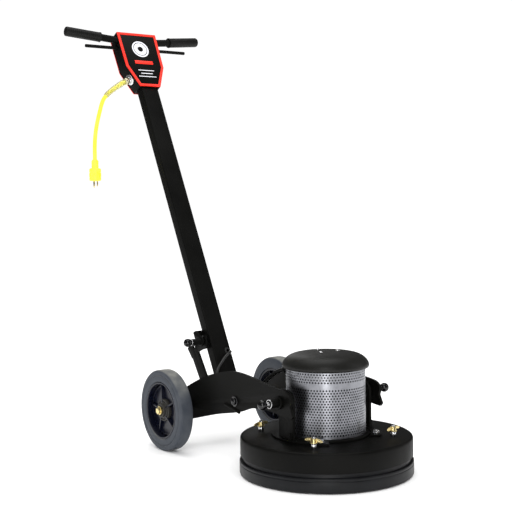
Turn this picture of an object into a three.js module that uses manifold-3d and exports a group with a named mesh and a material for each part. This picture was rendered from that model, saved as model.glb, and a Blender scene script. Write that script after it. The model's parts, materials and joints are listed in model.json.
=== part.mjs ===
// High speed floor burnisher, as an assembly of separate sub-parts.
// Millimetres. +X is the machine's right, +Y points back to the operator, +Z is up.
// The model is laid out about the deck's centre on the floor and then moved along Y,
// so that the origin ends under the middle of the machine.
import * as THREE from "three";
import { mergeVertices } from "three/addons/utils/BufferGeometryUtils.js";
import Module from "manifold-3d";

const wasm = await Module();
wasm.setup();

// ---------- driving dimensions ----------
const GAP = 0.3; // left between pieces that rest on each other

const DECK_R = 232; // deck housing
const DECK_TOP = 103;
const DECK_RIM = 50;
const DECK_WALL = 6;
const SKIRT_R = 234; // dust skirt ring
const SKIRT_TOP = 40;
const SKIRT_BOTTOM = 2;
const STUD_R = 180; // circle of the four skirt studs
const STUD_TURN = THREE.MathUtils.degToRad(41); // of the first stud, from +X
const STUD_THREAD = 5;
const SPACER_TOP = 116;

const PAD_R = 216; // 17 inch burnishing pad
const PAD_TOP = 20;
const DRIVER_R = 208;

const MOTOR_R = 92; // motor frame can
const FLANGE_R = 117;
const BELL_TOP = 110;
const CAN_TOP = 262;
const SHAFT_R = 8.5;
const TOWER_TOP = 300; // the upper end bell's tower, which carries the cap
const TOWER_R = 46;
const BEARING_R = 20;
const BEARING_W = 12;
const SCREEN_R = 106.5;
const SCREEN_TOP = 283;
const CAP_R = 117;
const CAP_TOP = 327;
const CAP_SCREW = 33; // circle of the three cap screws

const PIVOT_Z = 205.5; // yoke pivot, on the deck's centre line
const BRACKET_IN = 127; // inner face of a pivot bracket's plate, from the middle
const PLATE = 8; // thickness of the bracket plates and the yoke arms
const ARM_IN = 148; // inner face of a yoke arm
const ARM_OUT = ARM_IN + PLATE;
const PIN_R = 8;
const BARREL_END = 186;
const KNOB_X = 210;
const KNOB_R = 13;

const AXLE_Y = 494;
const WHEEL_R = 119; // the axle's height too
const AXLE_R = 10;
const WHEEL_OUT = 227.5;
const WHEEL_W = 45;
const RIM_R = 84;
const BOSS_R = 20;
const SPOKES = 5;
const CROSS_Y = 205; // front cross tube of the yoke
const CROSS_Z = 180;
const CROSS_R = 16;

const LEAN = THREE.MathUtils.degToRad(26.43); // handle, back from upright
const TUBE_Y = 364.5; // the tube's front face where it would meet the floor
const TUBE_W = 63.5;
const TUBE_D = 36;
const TUBE_WALL = 3;
const TUBE_FOOT = 150; // heights on the handle are measured along the tube
const TUBE_HEAD = 1300;

const BOX_TOP = 1456; // switch housing
const BOX_WAIST = 1324;
const BOX_BOTTOM = 1247;
const BOX_HALF = [74, 71.5, 38.5];
const BOX_FRONT = -4.3; // front edge of the housing's sides
const COVER_T = 2.4;
const BOX_BACK = 46;

const BAR_R = 12; // handlebar
const BAR_ROOT = [68, 8, 1432];
const BAR_END = [250, 16.5, 1457];
const GRIP_R = 16;
const GRIP_LENGTH = 124;
const LEVER_R = 5.5; // squeeze bar
const LEVER_HALF = 191;
const LEVER_Y = 18;
const LEVER_Z = 1407.5;

const QUAD_IN = 40; // inner face of the lock quadrant, left of the middle
const QUAD_T = 6;
const LOCK_Y = 543; // lock plunger's axis
const LOCK_Z = 303;
const LOCK_STEP = THREE.MathUtils.degToRad(5.5);
const LOCK_HOLES = 4;

const CORD_R = 6.5;
const CORD_GRIP_R = 10;
const CORD_Y = 951;
const PLUG_R = 19;

const CABLE_R = 4.5; // motor cable
const SLEEVE_R = 6; // its sleeved stretch, from the cross tube to the motor
const CABLE_EXIT_X = 18; // where it leaves the tube's front
const CABLE_EXIT = 306;

// The housing's back corner is the rearmost point, the skirt the foremost.
const REAR = TUBE_Y + BOX_TOP * Math.sin(LEAN) + BOX_BACK * Math.cos(LEAN);
const MID_Y = (REAR - SKIRT_R) / 2;

// ---------- finishes ----------
function finish(color, roughness, metalness) {
  return new THREE.MeshStandardMaterial({ color, roughness, metalness });
}
const blackPaint = finish(0x17181a, 0.45, 0.2);
const deckPaint = finish(0x2a2a26, 0.5, 0.2);
const rubber = finish(0x2e3032, 0.85, 0);
const tyreGrey = finish(0x8c8f92, 0.8, 0);
const hubPlastic = finish(0x16181f, 0.6, 0);
const capPlastic = finish(0x1d1d1b, 0.5, 0);
const stainless = finish(0xc9ccd2, 0.25, 1);
const steel = finish(0x9a9ca0, 0.35, 1);
const brass = finish(0xc9a95a, 0.35, 1);
const copper = finish(0xb06a3c, 0.4, 1);
const castAlloy = finish(0xa7a9ab, 0.55, 0.9);
const redPad = finish(0xc9b79a, 0.95, 0);
const knobPlastic = finish(0x101012, 0.25, 0);
const yellow = finish(0xf4ef2c, 0.5, 0);
const wireMesh = finish(0xb9b48c, 0.35, 1);
const redTrim = finish(0xd8321c, 0.45, 0);

// ---------- shape tools ----------
// A closed solid from a three.js geometry, whichever way round its faces were drawn.
function solid(geometry) {
  const bare = geometry.clone();
  bare.deleteAttribute("normal");
  bare.deleteAttribute("uv");
  const merged = mergeVertices(bare, 1e-4);
  const vertProperties = new Float32Array(merged.attributes.position.array);
  const triVerts = new Uint32Array(merged.index.array);
  const made = new wasm.Manifold(new wasm.Mesh({ numProp: 3, vertProperties, triVerts }));
  if (made.volume() > 0) return made;
  for (let i = 0; i < triVerts.length; i += 3) {
    [triVerts[i + 1], triVerts[i + 2]] = [triVerts[i + 2], triVerts[i + 1]];
  }
  return new wasm.Manifold(new wasm.Mesh({ numProp: 3, vertProperties, triVerts }));
}

function piece(name, shape, material) {
  const made = shape.getMesh();
  const geometry = new THREE.BufferGeometry();
  geometry.setAttribute("position", new THREE.BufferAttribute(made.vertProperties, 3));
  geometry.setIndex(new THREE.BufferAttribute(made.triVerts, 1));
  geometry.computeVertexNormals();
  const mesh = new THREE.Mesh(geometry, material.clone());
  mesh.name = name;
  return mesh;
}

function joined(parts) {
  return parts.reduce((sum, part) => sum.add(part));
}

function cut(body, tools) {
  return tools.reduce((left, tool) => left.subtract(tool), body);
}

// A profile of [radius, height] points turned about Z.
function turned(profile, segments = 28) {
  const points = profile.map(([r, z]) => new THREE.Vector2(r, z));
  return solid(new THREE.LatheGeometry(points, segments).rotateX(Math.PI / 2));
}

function ring(inner, outer, low, high, segments = 28) {
  return turned([[inner, low], [outer, low], [outer, high], [inner, high], [inner, low]], segments);
}

// A round bar from one point to another.
function rod(from, to, radius, segments = 16) {
  const a = new THREE.Vector3(...from);
  const b = new THREE.Vector3(...to);
  const way = b.clone().sub(a);
  const geometry = new THREE.CylinderGeometry(radius, radius, way.length(), segments);
  const turn = new THREE.Quaternion().setFromUnitVectors(new THREE.Vector3(0, 1, 0), way.clone().normalize());
  geometry.applyQuaternion(turn);
  geometry.translate(...a.add(b).multiplyScalar(0.5).toArray());
  return solid(geometry);
}

function ball(centre, radius, segments = 12) {
  return solid(new THREE.SphereGeometry(radius, segments, segments / 2).translate(...centre));
}

function block(low, high) {
  const size = high.map((v, i) => v - low[i]);
  const middle = high.map((v, i) => (v + low[i]) / 2);
  return solid(new THREE.BoxGeometry(...size).translate(...middle));
}

// A flat shape drawn in Y and Z, with its thickness from x to x + depth.
function sidePlate(shape, x, depth, curveSegments = 6) {
  const geometry = new THREE.ExtrudeGeometry(shape, { depth, bevelEnabled: false, curveSegments });
  geometry.rotateZ(Math.PI / 2).rotateY(Math.PI / 2);
  return solid(geometry.translate(x, 0, 0));
}

// A flat shape drawn in X and Z, with its thickness from y to y + depth.
function frontPlate(shape, y, depth, curveSegments = 6) {
  const geometry = new THREE.ExtrudeGeometry(shape, { depth, bevelEnabled: false, curveSegments });
  return solid(geometry.rotateX(Math.PI / 2).translate(0, y + depth, 0));
}

function polygon(points) {
  return new THREE.Shape(points.map(([u, v]) => new THREE.Vector2(u, v)));
}

function mirrored(shape) {
  return shape.mirror([1, 0, 0]);
}

// A round cord through a list of points.
function cordAlong(points, radius, sides, steps) {
  const path = new THREE.CatmullRomCurve3(points.map((p) => new THREE.Vector3(...p)));
  const section = new THREE.Shape();
  for (let i = 0; i < sides; i += 1) {
    const turn = (i / sides) * 2 * Math.PI;
    const corner = [radius * Math.cos(turn), radius * Math.sin(turn)];
    if (i === 0) section.moveTo(...corner);
    else section.lineTo(...corner);
  }
  return solid(new THREE.ExtrudeGeometry(section, { steps, bevelEnabled: false, extrudePath: path }));
}

function circlePoint(radius, angle) {
  return [radius * Math.cos(angle), radius * Math.sin(angle)];
}

const studAngles = [0, 1, 2, 3].map((i) => STUD_TURN + (i * Math.PI) / 2);

// ---------- deck ----------
function deckHousing() {
  const inside = DECK_R - DECK_WALL;
  const shell = turned([
    [45.5, DECK_TOP], [DECK_R - 9, DECK_TOP], [DECK_R - 3, DECK_TOP - 2.5], [DECK_R, DECK_TOP - 9],
    [DECK_R, DECK_RIM], [inside, DECK_RIM], [inside, DECK_TOP - 12], [inside - 5, DECK_TOP - DECK_WALL],
    [45.5, DECK_TOP - DECK_WALL], [45.5, DECK_TOP],
  ], 32);
  const holes = studAngles.map((angle) => {
    const [x, y] = circlePoint(STUD_R, angle);
    return rod([x, y, DECK_TOP - 20], [x, y, DECK_TOP + 5], STUD_THREAD + GAP, 12);
  });
  return cut(shell, holes);
}

function skirtRing() {
  const neck = DECK_R - DECK_WALL - 0.6;
  return turned([
    [228, SKIRT_BOTTOM], [232, SKIRT_BOTTOM], [SKIRT_R, 5],
    [SKIRT_R, SKIRT_TOP - 3], [SKIRT_R - 3, SKIRT_TOP],
    [neck, SKIRT_TOP], [neck, 74], [168, 74], [168, 70], [neck - 6, 70], [neck - 6, 34], [228, 30],
    [228, SKIRT_BOTTOM],
  ], 32);
}

function skirtStud(angle) {
  const [x, y] = circlePoint(STUD_R, angle);
  const thread = rod([x, y, 74 + GAP], [x, y, 134], STUD_THREAD, 12);
  const spacer = rod([x, y, DECK_TOP + GAP], [x, y, SPACER_TOP], 7.5, 12);
  return thread.add(spacer);
}

function wingNut(angle) {
  const [x, y] = circlePoint(STUD_R, angle);
  const low = SPACER_TOP + GAP;
  const hub = rod([x, y, low], [x, y, low + 12], 9, 12);
  const wing = new THREE.Shape();
  wing.moveTo(6, 3);
  wing.quadraticCurveTo(16, 0, 24, 5);
  wing.quadraticCurveTo(29, 13, 23, 16);
  wing.quadraticCurveTo(14, 16, 6, 11);
  const blade = frontPlate(wing, -1.7, 3.4, 3);
  const wings = blade.add(mirrored(blade)).rotate([0, 0, THREE.MathUtils.radToDeg(angle) + 62]);
  const bore = rod([x, y, low - 1], [x, y, low + 14], STUD_THREAD + GAP, 12);
  return cut(hub.add(wings.translate([x, y, low])), [bore]);
}

// ---------- motor ----------
function lowerEndBell() {
  return turned([
    [BEARING_R + GAP, BELL_TOP + 6], [34, BELL_TOP + 6], [40, BELL_TOP], [FLANGE_R, BELL_TOP],
    [FLANGE_R, DECK_TOP + GAP], [45, DECK_TOP + GAP], [45, DECK_TOP - 11], [BEARING_R + GAP, DECK_TOP - 11],
    [BEARING_R + GAP, BELL_TOP + 6],
  ]);
}

const screwSpots = [0, 1, 2].map((i) => circlePoint(CAP_SCREW, Math.PI / 2 + (i * 2 * Math.PI) / 3));

function upperEndBell() {
  const bell = turned([
    [BEARING_R + GAP, CAN_TOP - 8], [36, CAN_TOP - 8], [46, CAN_TOP + GAP], [MOTOR_R, CAN_TOP + GAP],
    [MOTOR_R, CAN_TOP + 8], [TOWER_R, CAN_TOP + 8], [TOWER_R - 4, TOWER_TOP], [26, TOWER_TOP],
    [BEARING_R + GAP, CAN_TOP + 14], [BEARING_R + GAP, CAN_TOP - 8],
  ]);
  const holes = screwSpots.map((at) => rod([...at, TOWER_TOP - 16], [...at, TOWER_TOP + 5], 2.6 + GAP, 10));
  return cut(bell, holes);
}

function bearing(low) {
  return ring(SHAFT_R + GAP, BEARING_R, low, low + BEARING_W, 20);
}

function motorShaft() {
  return turned([[0, 30], [SHAFT_R, 30], [SHAFT_R, 271], [SHAFT_R - 1, 272], [0, 272]], 16);
}

function armature() {
  return turned([
    [SHAFT_R + GAP, 132], [44, 136], [60, 142], [60, 206], [44, 212], [24, 216], [24, 246],
    [SHAFT_R + GAP, 246], [SHAFT_R + GAP, 132],
  ], 24);
}

function coolingFan() {
  const low = BELL_TOP + 8;
  const disc = ring(SHAFT_R + GAP, 68, low, low + 2.5, 16);
  const hub = ring(SHAFT_R + GAP, 16, low, low + 12, 16);
  const blades = [];
  for (let i = 0; i < 8; i += 1) {
    blades.push(block([15, -1, low + 1], [66, 1, low + 11]).rotate([0, 0, i * 45]));
  }
  return joined([disc, hub, ...blades]);
}

function motorScreen() {
  return ring(SCREEN_R - 2, SCREEN_R, BELL_TOP + GAP, SCREEN_TOP, 36);
}

function motorCap() {
  const cap = turned([
    [0, CAP_TOP], [48, CAP_TOP - 1], [76, CAP_TOP - 4], [94, CAP_TOP - 9], [107, CAP_TOP - 17.5],
    [114.5, CAP_TOP - 27], [CAP_R, CAP_TOP - 35], [CAP_R - 1, CAP_TOP - 40], [111, SCREEN_TOP + 1], [101, SCREEN_TOP + 1],
    [99, CAP_TOP - 30], [76, CAP_TOP - 17], [48, CAP_TOP - 10], [44, TOWER_TOP + GAP], [0, TOWER_TOP + GAP],
  ], 28);
  const holes = screwSpots.map((at) => rod([...at, TOWER_TOP - 5], [...at, CAP_TOP + 5], 2.6 + GAP, 10));
  return cut(cap, holes);
}

function capScrew(at) {
  const below = block([-99, -99, 0], [99, 99, CAP_TOP + GAP]);
  const head = ball([...at, CAP_TOP - 1.2], 6, 10).subtract(below);
  return head.add(rod([...at, TOWER_TOP - 14], [...at, CAP_TOP + 1], 2.6, 10));
}

// ---------- burnishing head ----------
function padDriver() {
  return turned([
    [SHAFT_R + GAP, 32], [18, 32], [26, 40],     [26, 84], [22, 88], [SHAFT_R + GAP, 88], [SHAFT_R + GAP, 32],
  ], 20).add(turned([
    [24, PAD_TOP + 14], [24, 44], [60, 40], [DRIVER_R, 30], [DRIVER_R, PAD_TOP + GAP], [50, PAD_TOP + GAP],
    [44, PAD_TOP + 14], [24, PAD_TOP + 14],
  ], 24));
}

function burnishingPad() {
  return turned([
    [44, 0], [PAD_R - 2, 0], [PAD_R, 3], [PAD_R, PAD_TOP - 3], [PAD_R - 2, PAD_TOP], [44, PAD_TOP], [44, 0],
  ], 36);
}

function padLock() {
  return turned([
    [0, 8], [40, 8], [43, 11], [43, 20], [38, 26], [22, 31], [0, 29],
  ], 20);
}

// ---------- pivot brackets ----------
function pivotBracket() {
  const foot = new THREE.Shape();
  const spread = THREE.MathUtils.degToRad(54);
  foot.absarc(0, 0, 148, -spread, spread, false);
  foot.absarc(0, 0, FLANGE_R + 2.5, spread, -spread, true);
  foot.closePath();
  const base = solid(
    new THREE.ExtrudeGeometry(foot, { depth: 6, bevelEnabled: false, curveSegments: 8 })
      .translate(0, 0, DECK_TOP + GAP),
  );
  const post = new THREE.Shape();
  post.moveTo(-31, DECK_TOP + GAP);
  post.lineTo(31, DECK_TOP + GAP);
  post.lineTo(31, PIVOT_Z);
  post.absarc(0, PIVOT_Z, 31, 0, Math.PI, false);
  post.closePath();
  const plate = sidePlate(post, BRACKET_IN, PLATE);
  const boss = rod([BRACKET_IN + 1, 0, PIVOT_Z], [ARM_IN - GAP, 0, PIVOT_Z], 17, 20);
  const rib = block([BRACKET_IN - 0.5, -26, DECK_TOP + 1], [ARM_IN - 6, -20, DECK_TOP + 24]);
  const bore = rod([BRACKET_IN - 9, 0, PIVOT_Z], [ARM_IN + 9, 0, PIVOT_Z], PIN_R + GAP, 16);
  const bolt = circlePoint(133.5, -Math.PI / 4);
  const boltHole = rod([...bolt, DECK_TOP - 5], [...bolt, DECK_TOP + 15], 5 + GAP, 12);
  const deckKeep = block([0, -200, DECK_TOP], [200, 200, PIVOT_Z + 60]);
  return cut(joined([base, plate, boss, rib]).intersect(deckKeep), [bore, boltHole]);
}

function bracketBolt() {
  const at = circlePoint(133.5, -Math.PI / 4);
  const low = DECK_TOP + 6 + 2 * GAP;
  const head = rod([...at, low], [...at, low + 6], 9, 6);
  return head.add(rod([...at, DECK_TOP + 2 * GAP], [...at, low + 1], 5, 12));
}

// ---------- yoke ----------
function armOutline() {
  const arm = new THREE.Shape();
  arm.moveTo(-27, 170);
  arm.splineThru([new THREE.Vector2(50, 177), new THREE.Vector2(123, 172), new THREE.Vector2(192, 151)]);
  arm.splineThru([new THREE.Vector2(300, 129), new THREE.Vector2(433, 95), new THREE.Vector2(472, 86)]);
  arm.absarc(AXLE_Y, WHEEL_R, 36, -Math.PI * 0.65, Math.PI * 0.4, false);
  arm.lineTo(478, 169);
  arm.lineTo(453, 190);
  arm.splineThru([new THREE.Vector2(351, 232), new THREE.Vector2(251, 257), new THREE.Vector2(199, 262)]);
  arm.splineThru([new THREE.Vector2(130, 257), new THREE.Vector2(68, 247), new THREE.Vector2(-10, 238)]);
  arm.splineThru([new THREE.Vector2(-33, 235), new THREE.Vector2(-48, 224), new THREE.Vector2(-50, 212)]);
  arm.lineTo(-45, 198);
  arm.lineTo(-56, 176);
  arm.lineTo(-50, 168);
  arm.closePath();
  return arm;
}

function yokeArm() {
  const plate = sidePlate(armOutline(), ARM_IN, PLATE, 4);
  const barrel = rod([ARM_OUT - 1, 0, PIVOT_Z], [BARREL_END, 0, PIVOT_Z], 11.5, 16);
  const nut = rod([ARM_OUT - 1, 0, PIVOT_Z], [ARM_OUT + 7, 0, PIVOT_Z], 17, 16);
  const stepBar = rod([ARM_OUT + 2, 254, 166], [ARM_OUT + 2, 181, 152], 4, 8);
  const bores = [
    rod([ARM_IN - 9, 0, PIVOT_Z], [BARREL_END + 9, 0, PIVOT_Z], PIN_R + GAP, 16),
    rod([ARM_IN - 9, AXLE_Y, WHEEL_R], [ARM_OUT + 9, AXLE_Y, WHEEL_R], AXLE_R + GAP, 16),
    rod([ARM_IN - 9, CROSS_Y, CROSS_Z], [ARM_OUT + 9, CROSS_Y, CROSS_Z], 6 + GAP, 12),
  ];
  return cut(joined([plate, barrel, nut, stepBar]), bores);
}

function frontCrossTube() {
  const reach = ARM_IN - GAP;
  const tube = rod([-reach, CROSS_Y, CROSS_Z], [reach, CROSS_Y, CROSS_Z], CROSS_R, 16);
  const head = ARM_OUT + GAP;
  const bolt = rod([-head - 1, CROSS_Y, CROSS_Z], [head + 1, CROSS_Y, CROSS_Z], 6, 12);
  const ends = [-1, 1].map((side) => {
    const washer = rod([side * head, CROSS_Y, CROSS_Z], [side * (head + 3), CROSS_Y, CROSS_Z], 15, 16);
    const hexStart = [side * (head + 2), CROSS_Y, CROSS_Z];
    const hexEnd = [side * (head + 11), CROSS_Y, CROSS_Z];
    return washer.add(rod(hexStart, hexEnd, 9.5, 6));
  });
  return joined([tube, bolt, ...ends]);
}

function axle() {
  const reach = WHEEL_OUT + 2;
  const shaft = rod([-reach, AXLE_Y, WHEEL_R], [reach, AXLE_Y, WHEEL_R], AXLE_R, 16);
  const heads = [-1, 1].map((side) => rod(
    [side * reach, AXLE_Y, WHEEL_R], [side * (reach + 8), AXLE_Y, WHEEL_R], 11, 6,
  ));
  return joined([shaft, ...heads]);
}

function lockQuadrant() {
  const reach = Math.hypot(LOCK_Y - AXLE_Y, LOCK_Z - WHEEL_R);
  const first = Math.atan2(LOCK_Y - AXLE_Y, LOCK_Z - WHEEL_R); // back from upright
  const upright = Math.PI / 2;
  const head = new THREE.Shape();
  head.absarc(AXLE_Y, WHEEL_R, reach + 15, upright - first + 0.11, upright - first - 0.47, true);
  head.absarc(AXLE_Y, WHEEL_R, reach - 24, upright - first - 0.47, upright - first + 0.11, false);
  head.closePath();
  const stemTurn = upright - THREE.MathUtils.degToRad(33.5);
  const stem = polygon([[0, -21], [reach - 8, -21], [reach - 8, 21], [0, 21]]);
  const stemPlate = sidePlate(stem, -QUAD_IN - QUAD_T, QUAD_T)
    .rotate([THREE.MathUtils.radToDeg(stemTurn), 0, 0])
    .translate([0, AXLE_Y, WHEEL_R]);
  const plate = sidePlate(head, -QUAD_IN - QUAD_T, QUAD_T, 5);
  const sleeve = rod([-ARM_IN + GAP, AXLE_Y, WHEEL_R], [-QUAD_IN, AXLE_Y, WHEEL_R], 18, 16);
  const holes = [rod([-ARM_IN - 9, AXLE_Y, WHEEL_R], [0, AXLE_Y, WHEEL_R], AXLE_R + GAP, 16)];
  for (let i = 0; i < LOCK_HOLES; i += 1) {
    const [dy, dz] = circlePoint(reach, upright - first - i * LOCK_STEP);
    const at = [AXLE_Y + dy, WHEEL_R + dz];
    holes.push(rod([-QUAD_IN - 19, ...at], [-QUAD_IN + 9, ...at], 5.5, 10));
  }
  return cut(joined([plate, stemPlate, sleeve]), holes);
}

// ---------- wheels ----------
function tyre() {
  const half = WHEEL_W / 2;
  const profile = [
    [RIM_R + GAP, -half], [WHEEL_R - 9, -half], [WHEEL_R, -half + 8], [WHEEL_R, half - 8],
    [WHEEL_R - 9, half], [RIM_R + GAP, half], [RIM_R + GAP, -half],
  ];
  return turned(profile, 32);
}

function hub() {
  const half = WHEEL_W / 2;
  const rim = ring(RIM_R - 7, RIM_R, -half + 2, half - 2, 32);
  const boss = ring(AXLE_R + GAP, BOSS_R, -half - 22, half, 16);
  const spokes = [];
  for (let i = 0; i < SPOKES; i += 1) {
    spokes.push(block([BOSS_R - 4, -6, -12], [RIM_R - 3, 6, 12]).rotate([0, 0, (i * 360) / SPOKES]));
  }
  const web = ring(BOSS_R - 2, RIM_R - 3, -3, 3, 16);
  const step = ring(BOSS_R - 2, BOSS_R + 13, -3, 13, 16);
  return joined([rim, boss, web, step, ...spokes]).subtract(
    rod([0, 0, -half - 30], [0, 0, half + 10], AXLE_R + GAP, 16),
  );
}

// A wheel piece, made about Z with its outer face up, set on the axle on one side.
function onAxle(shape, side) {
  const centre = side * (WHEEL_OUT - WHEEL_W / 2);
  return shape.rotate([0, side * 90, 0]).translate([centre, AXLE_Y, WHEEL_R]);
}

// ---------- handle: x, depth behind the tube's front face, height along the tube ----------
function roundedRectangle(halfWidth, near, far, radius) {
  const s = new THREE.Shape();
  s.moveTo(-halfWidth + radius, near);
  s.lineTo(halfWidth - radius, near);
  s.quadraticCurveTo(halfWidth, near, halfWidth, near + radius);
  s.lineTo(halfWidth, far - radius);
  s.quadraticCurveTo(halfWidth, far, halfWidth - radius, far);
  s.lineTo(-halfWidth + radius, far);
  s.quadraticCurveTo(-halfWidth, far, -halfWidth, far - radius);
  s.lineTo(-halfWidth, near + radius);
  s.quadraticCurveTo(-halfWidth, near, -halfWidth + radius, near);
  return s;
}

function upright(shape, low, high) {
  const depth = high - low;
  const geometry = new THREE.ExtrudeGeometry(shape, { depth, bevelEnabled: false, curveSegments: 3 });
  return solid(geometry.translate(0, 0, low));
}

function handleTube() {
  const outer = upright(roundedRectangle(TUBE_W / 2, 0, TUBE_D, 5), TUBE_FOOT, TUBE_HEAD);
  const inner = roundedRectangle(TUBE_W / 2 - TUBE_WALL, TUBE_WALL, TUBE_D - TUBE_WALL, 3);
  const hollow = upright(inner, TUBE_FOOT - 10, TUBE_HEAD + 10);
  const cableHole = rod([CABLE_EXIT_X, -10, CABLE_EXIT], [CABLE_EXIT_X, TUBE_WALL + 2, CABLE_EXIT], 8, 16);
  return cut(outer, [hollow, cableHole]);
}

// The axle as seen from the handle.
const HINGE_Y = (AXLE_Y - TUBE_Y) * Math.cos(LEAN) - WHEEL_R * Math.sin(LEAN);
const HINGE_Z = (AXLE_Y - TUBE_Y) * Math.sin(LEAN) + WHEEL_R * Math.cos(LEAN);
const LOCK_AT = [
  (LOCK_Y - TUBE_Y) * Math.cos(LEAN) - LOCK_Z * Math.sin(LEAN),
  (LOCK_Y - TUBE_Y) * Math.sin(LEAN) + LOCK_Z * Math.cos(LEAN),
];

function hingeBarrel() {
  const barrel = rod([-QUAD_IN + GAP, HINGE_Y, HINGE_Z], [QUAD_IN, HINGE_Y, HINGE_Z], 19, 16);
  const web = block([-24, TUBE_D + GAP, HINGE_Z - 12], [24, HINGE_Y, HINGE_Z + 34]);
  const bore = rod([-QUAD_IN - 9, HINGE_Y, HINGE_Z], [QUAD_IN + 9, HINGE_Y, HINGE_Z], AXLE_R + GAP, 16);
  return cut(barrel.add(web), [bore]);
}

// A strap on the tube's back, and a cheek that reaches round the quadrant to hold the plunger.
function lockBracket() {
  const [y, z] = LOCK_AT;
  const back = TUBE_D + GAP;
  const cheekX = -QUAD_IN - QUAD_T - 2;
  const strap = block([-26, back, z + 22], [26, back + 5, z + 130]);
  const bridge = block([cheekX - 6, back, z + 22], [-20, back + 14, z + 40]);
  const cheek = new THREE.Shape();
  cheek.moveTo(y, z - 16);
  cheek.absarc(y, z, 16, -Math.PI / 2, -Math.PI * 1.15, true);
  cheek.lineTo(back, z + 40);
  cheek.lineTo(back + 14, z + 40);
  cheek.lineTo(back + 14, z + 22);
  cheek.lineTo(y + 15, z - 6);
  cheek.closePath();
  const ear = sidePlate(cheek, cheekX - 6, 6);
  const barrel = rod([cheekX - 1, y, z], [cheekX - 36, y, z], 10.5, 16);
  const bore = rod([0, y, z], [cheekX - 60, y, z], 5.3, 12);
  return cut(joined([strap, bridge, ear, barrel]), [bore]);
}

function lockPlunger() {
  const [y, z] = LOCK_AT;
  const tip = -QUAD_IN - QUAD_T - GAP;
  const neck = -QUAD_IN - QUAD_T - 2 - 36 - GAP;
  const pin = rod([tip, y, z], [neck - 6, y, z], 5, 12);
  const collar = rod([neck, y, z], [neck - 3, y, z], 9, 12);
  return joined([pin, collar, ball([neck - KNOB_R - 1, y, z], KNOB_R)]);
}

function pivotPin() {
  const pin = rod([BRACKET_IN + PLATE + 1, 0, PIVOT_Z], [BARREL_END - 1, 0, PIVOT_Z], PIN_R, 16);
  const neck = rod([BARREL_END - 2, 0, PIVOT_Z], [KNOB_X - 4, 0, PIVOT_Z], 5, 12);
  const collar = rod([BARREL_END + GAP, 0, PIVOT_Z], [BARREL_END + 3, 0, PIVOT_Z], 9.5, 12);
  return joined([pin, neck, collar, ball([KNOB_X, 0, PIVOT_Z], KNOB_R)]);
}

function boxOutline(inset) {
  const [top, waist, bottom] = BOX_HALF.map((half) => half - inset);
  const heights = [BOX_TOP - inset, BOX_WAIST, BOX_BOTTOM + inset];
  return polygon([
    [-bottom, heights[2]], [bottom, heights[2]], [waist, heights[1]],
    [top, heights[0]], [-top, heights[0]], [-waist, heights[1]],
  ]);
}

function switchHousing() {
  const shell = frontPlate(boxOutline(0), BOX_FRONT, BOX_BACK - BOX_FRONT)
    .subtract(frontPlate(boxOutline(3), BOX_FRONT - 5, BOX_BACK - BOX_FRONT + 2));
  const tubeWay = block(
    [-TUBE_W / 2 - GAP, -9, BOX_BOTTOM - 9],
    [TUBE_W / 2 + GAP, TUBE_D + GAP, BOX_BOTTOM + 9],
  );
  const barWay = rod([-99, BAR_ROOT[1] + 0.5, 1433], [99, BAR_ROOT[1] + 0.5, 1433], BAR_R + 2, 16);
  const leverWay = block(
    [-99, LEVER_Y - LEVER_R - 1, LEVER_Z - LEVER_R - 1], [99, LEVER_Y + LEVER_R + 1, LEVER_Z + LEVER_R + 7],
  );
  return cut(shell, [tubeWay, barWay, leverWay]);
}

function housingCover() {
  return frontPlate(boxOutline(0), BOX_FRONT - GAP - COVER_T, COVER_T);
}

// A bent tube, bored from each end as far as its bend, on a flat stem from the tube's head.
function handlebar() {
  const at = (side, share) => BAR_END.map((end, i) => {
    const value = BAR_ROOT[i] + (end - BAR_ROOT[i]) * share;
    return i === 0 ? side * value : value;
  });
  const bend = 0.07;
  const dip = [[-40, BAR_ROOT[1], 1429.2], [0, BAR_ROOT[1], 1428.6], [40, BAR_ROOT[1], 1429.2]];
  const line = [at(-1, 1), at(-1, 0.5), at(-1, bend), ...dip, at(1, bend), at(1, 0.5), at(1, 1)];
  const bores = [-1, 1].map((side) => rod(at(side, 1.05), at(side, 0.12), BAR_R - 2.5, 12));
  const stem = block([-24, 2, TUBE_HEAD + GAP], [24, 12, BAR_ROOT[2] - BAR_R + 1]);
  return cut(cordAlong(line, BAR_R, 16, 24).add(stem), bores);
}

function grip(side) {
  const end = new THREE.Vector3(side * BAR_END[0], BAR_END[1], BAR_END[2]);
  const root = new THREE.Vector3(side * BAR_ROOT[0], BAR_ROOT[1], BAR_ROOT[2]);
  const way = end.clone().sub(root).normalize();
  const tip = end.clone().addScaledVector(way, 4);
  const inner = end.clone().addScaledVector(way, 4 - GRIP_LENGTH);
  const sleeve = rod(inner.toArray(), tip.toArray(), GRIP_R, 16);
  const boreStart = inner.addScaledVector(way, -5).toArray();
  const boreEnd = end.addScaledVector(way, GAP).toArray();
  const bore = rod(boreStart, boreEnd, BAR_R + GAP, 16);
  return sleeve.subtract(bore);
}

function switchBar() {
  const bar = rod([-LEVER_HALF, LEVER_Y, LEVER_Z], [LEVER_HALF, LEVER_Y, LEVER_Z], LEVER_R, 12);
  return bar.add(block([-7, LEVER_Y - 3, LEVER_Z - 20], [7, LEVER_Y + 4, LEVER_Z]));
}

function powerSwitch() {
  return block([-20, 13.5, 1325], [20, 36, LEVER_Z - 20 - GAP]);
}

// The gland stands on the housing's lower left slope.
const slopeLow = [-BOX_HALF[2], BOX_BOTTOM];
const slopeHigh = [-BOX_HALF[1], BOX_WAIST];
const glandFoot = [(slopeLow[0] + slopeHigh[0]) / 2, 20, (slopeLow[1] + slopeHigh[1]) / 2];
const slopeLength = Math.hypot(slopeHigh[0] - slopeLow[0], slopeHigh[1] - slopeLow[1]);
const glandWay = [(slopeLow[1] - slopeHigh[1]) / slopeLength, 0, (slopeHigh[0] - slopeLow[0]) / slopeLength];

function fromGland(distance) {
  return glandFoot.map((v, i) => v + glandWay[i] * distance);
}

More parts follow.
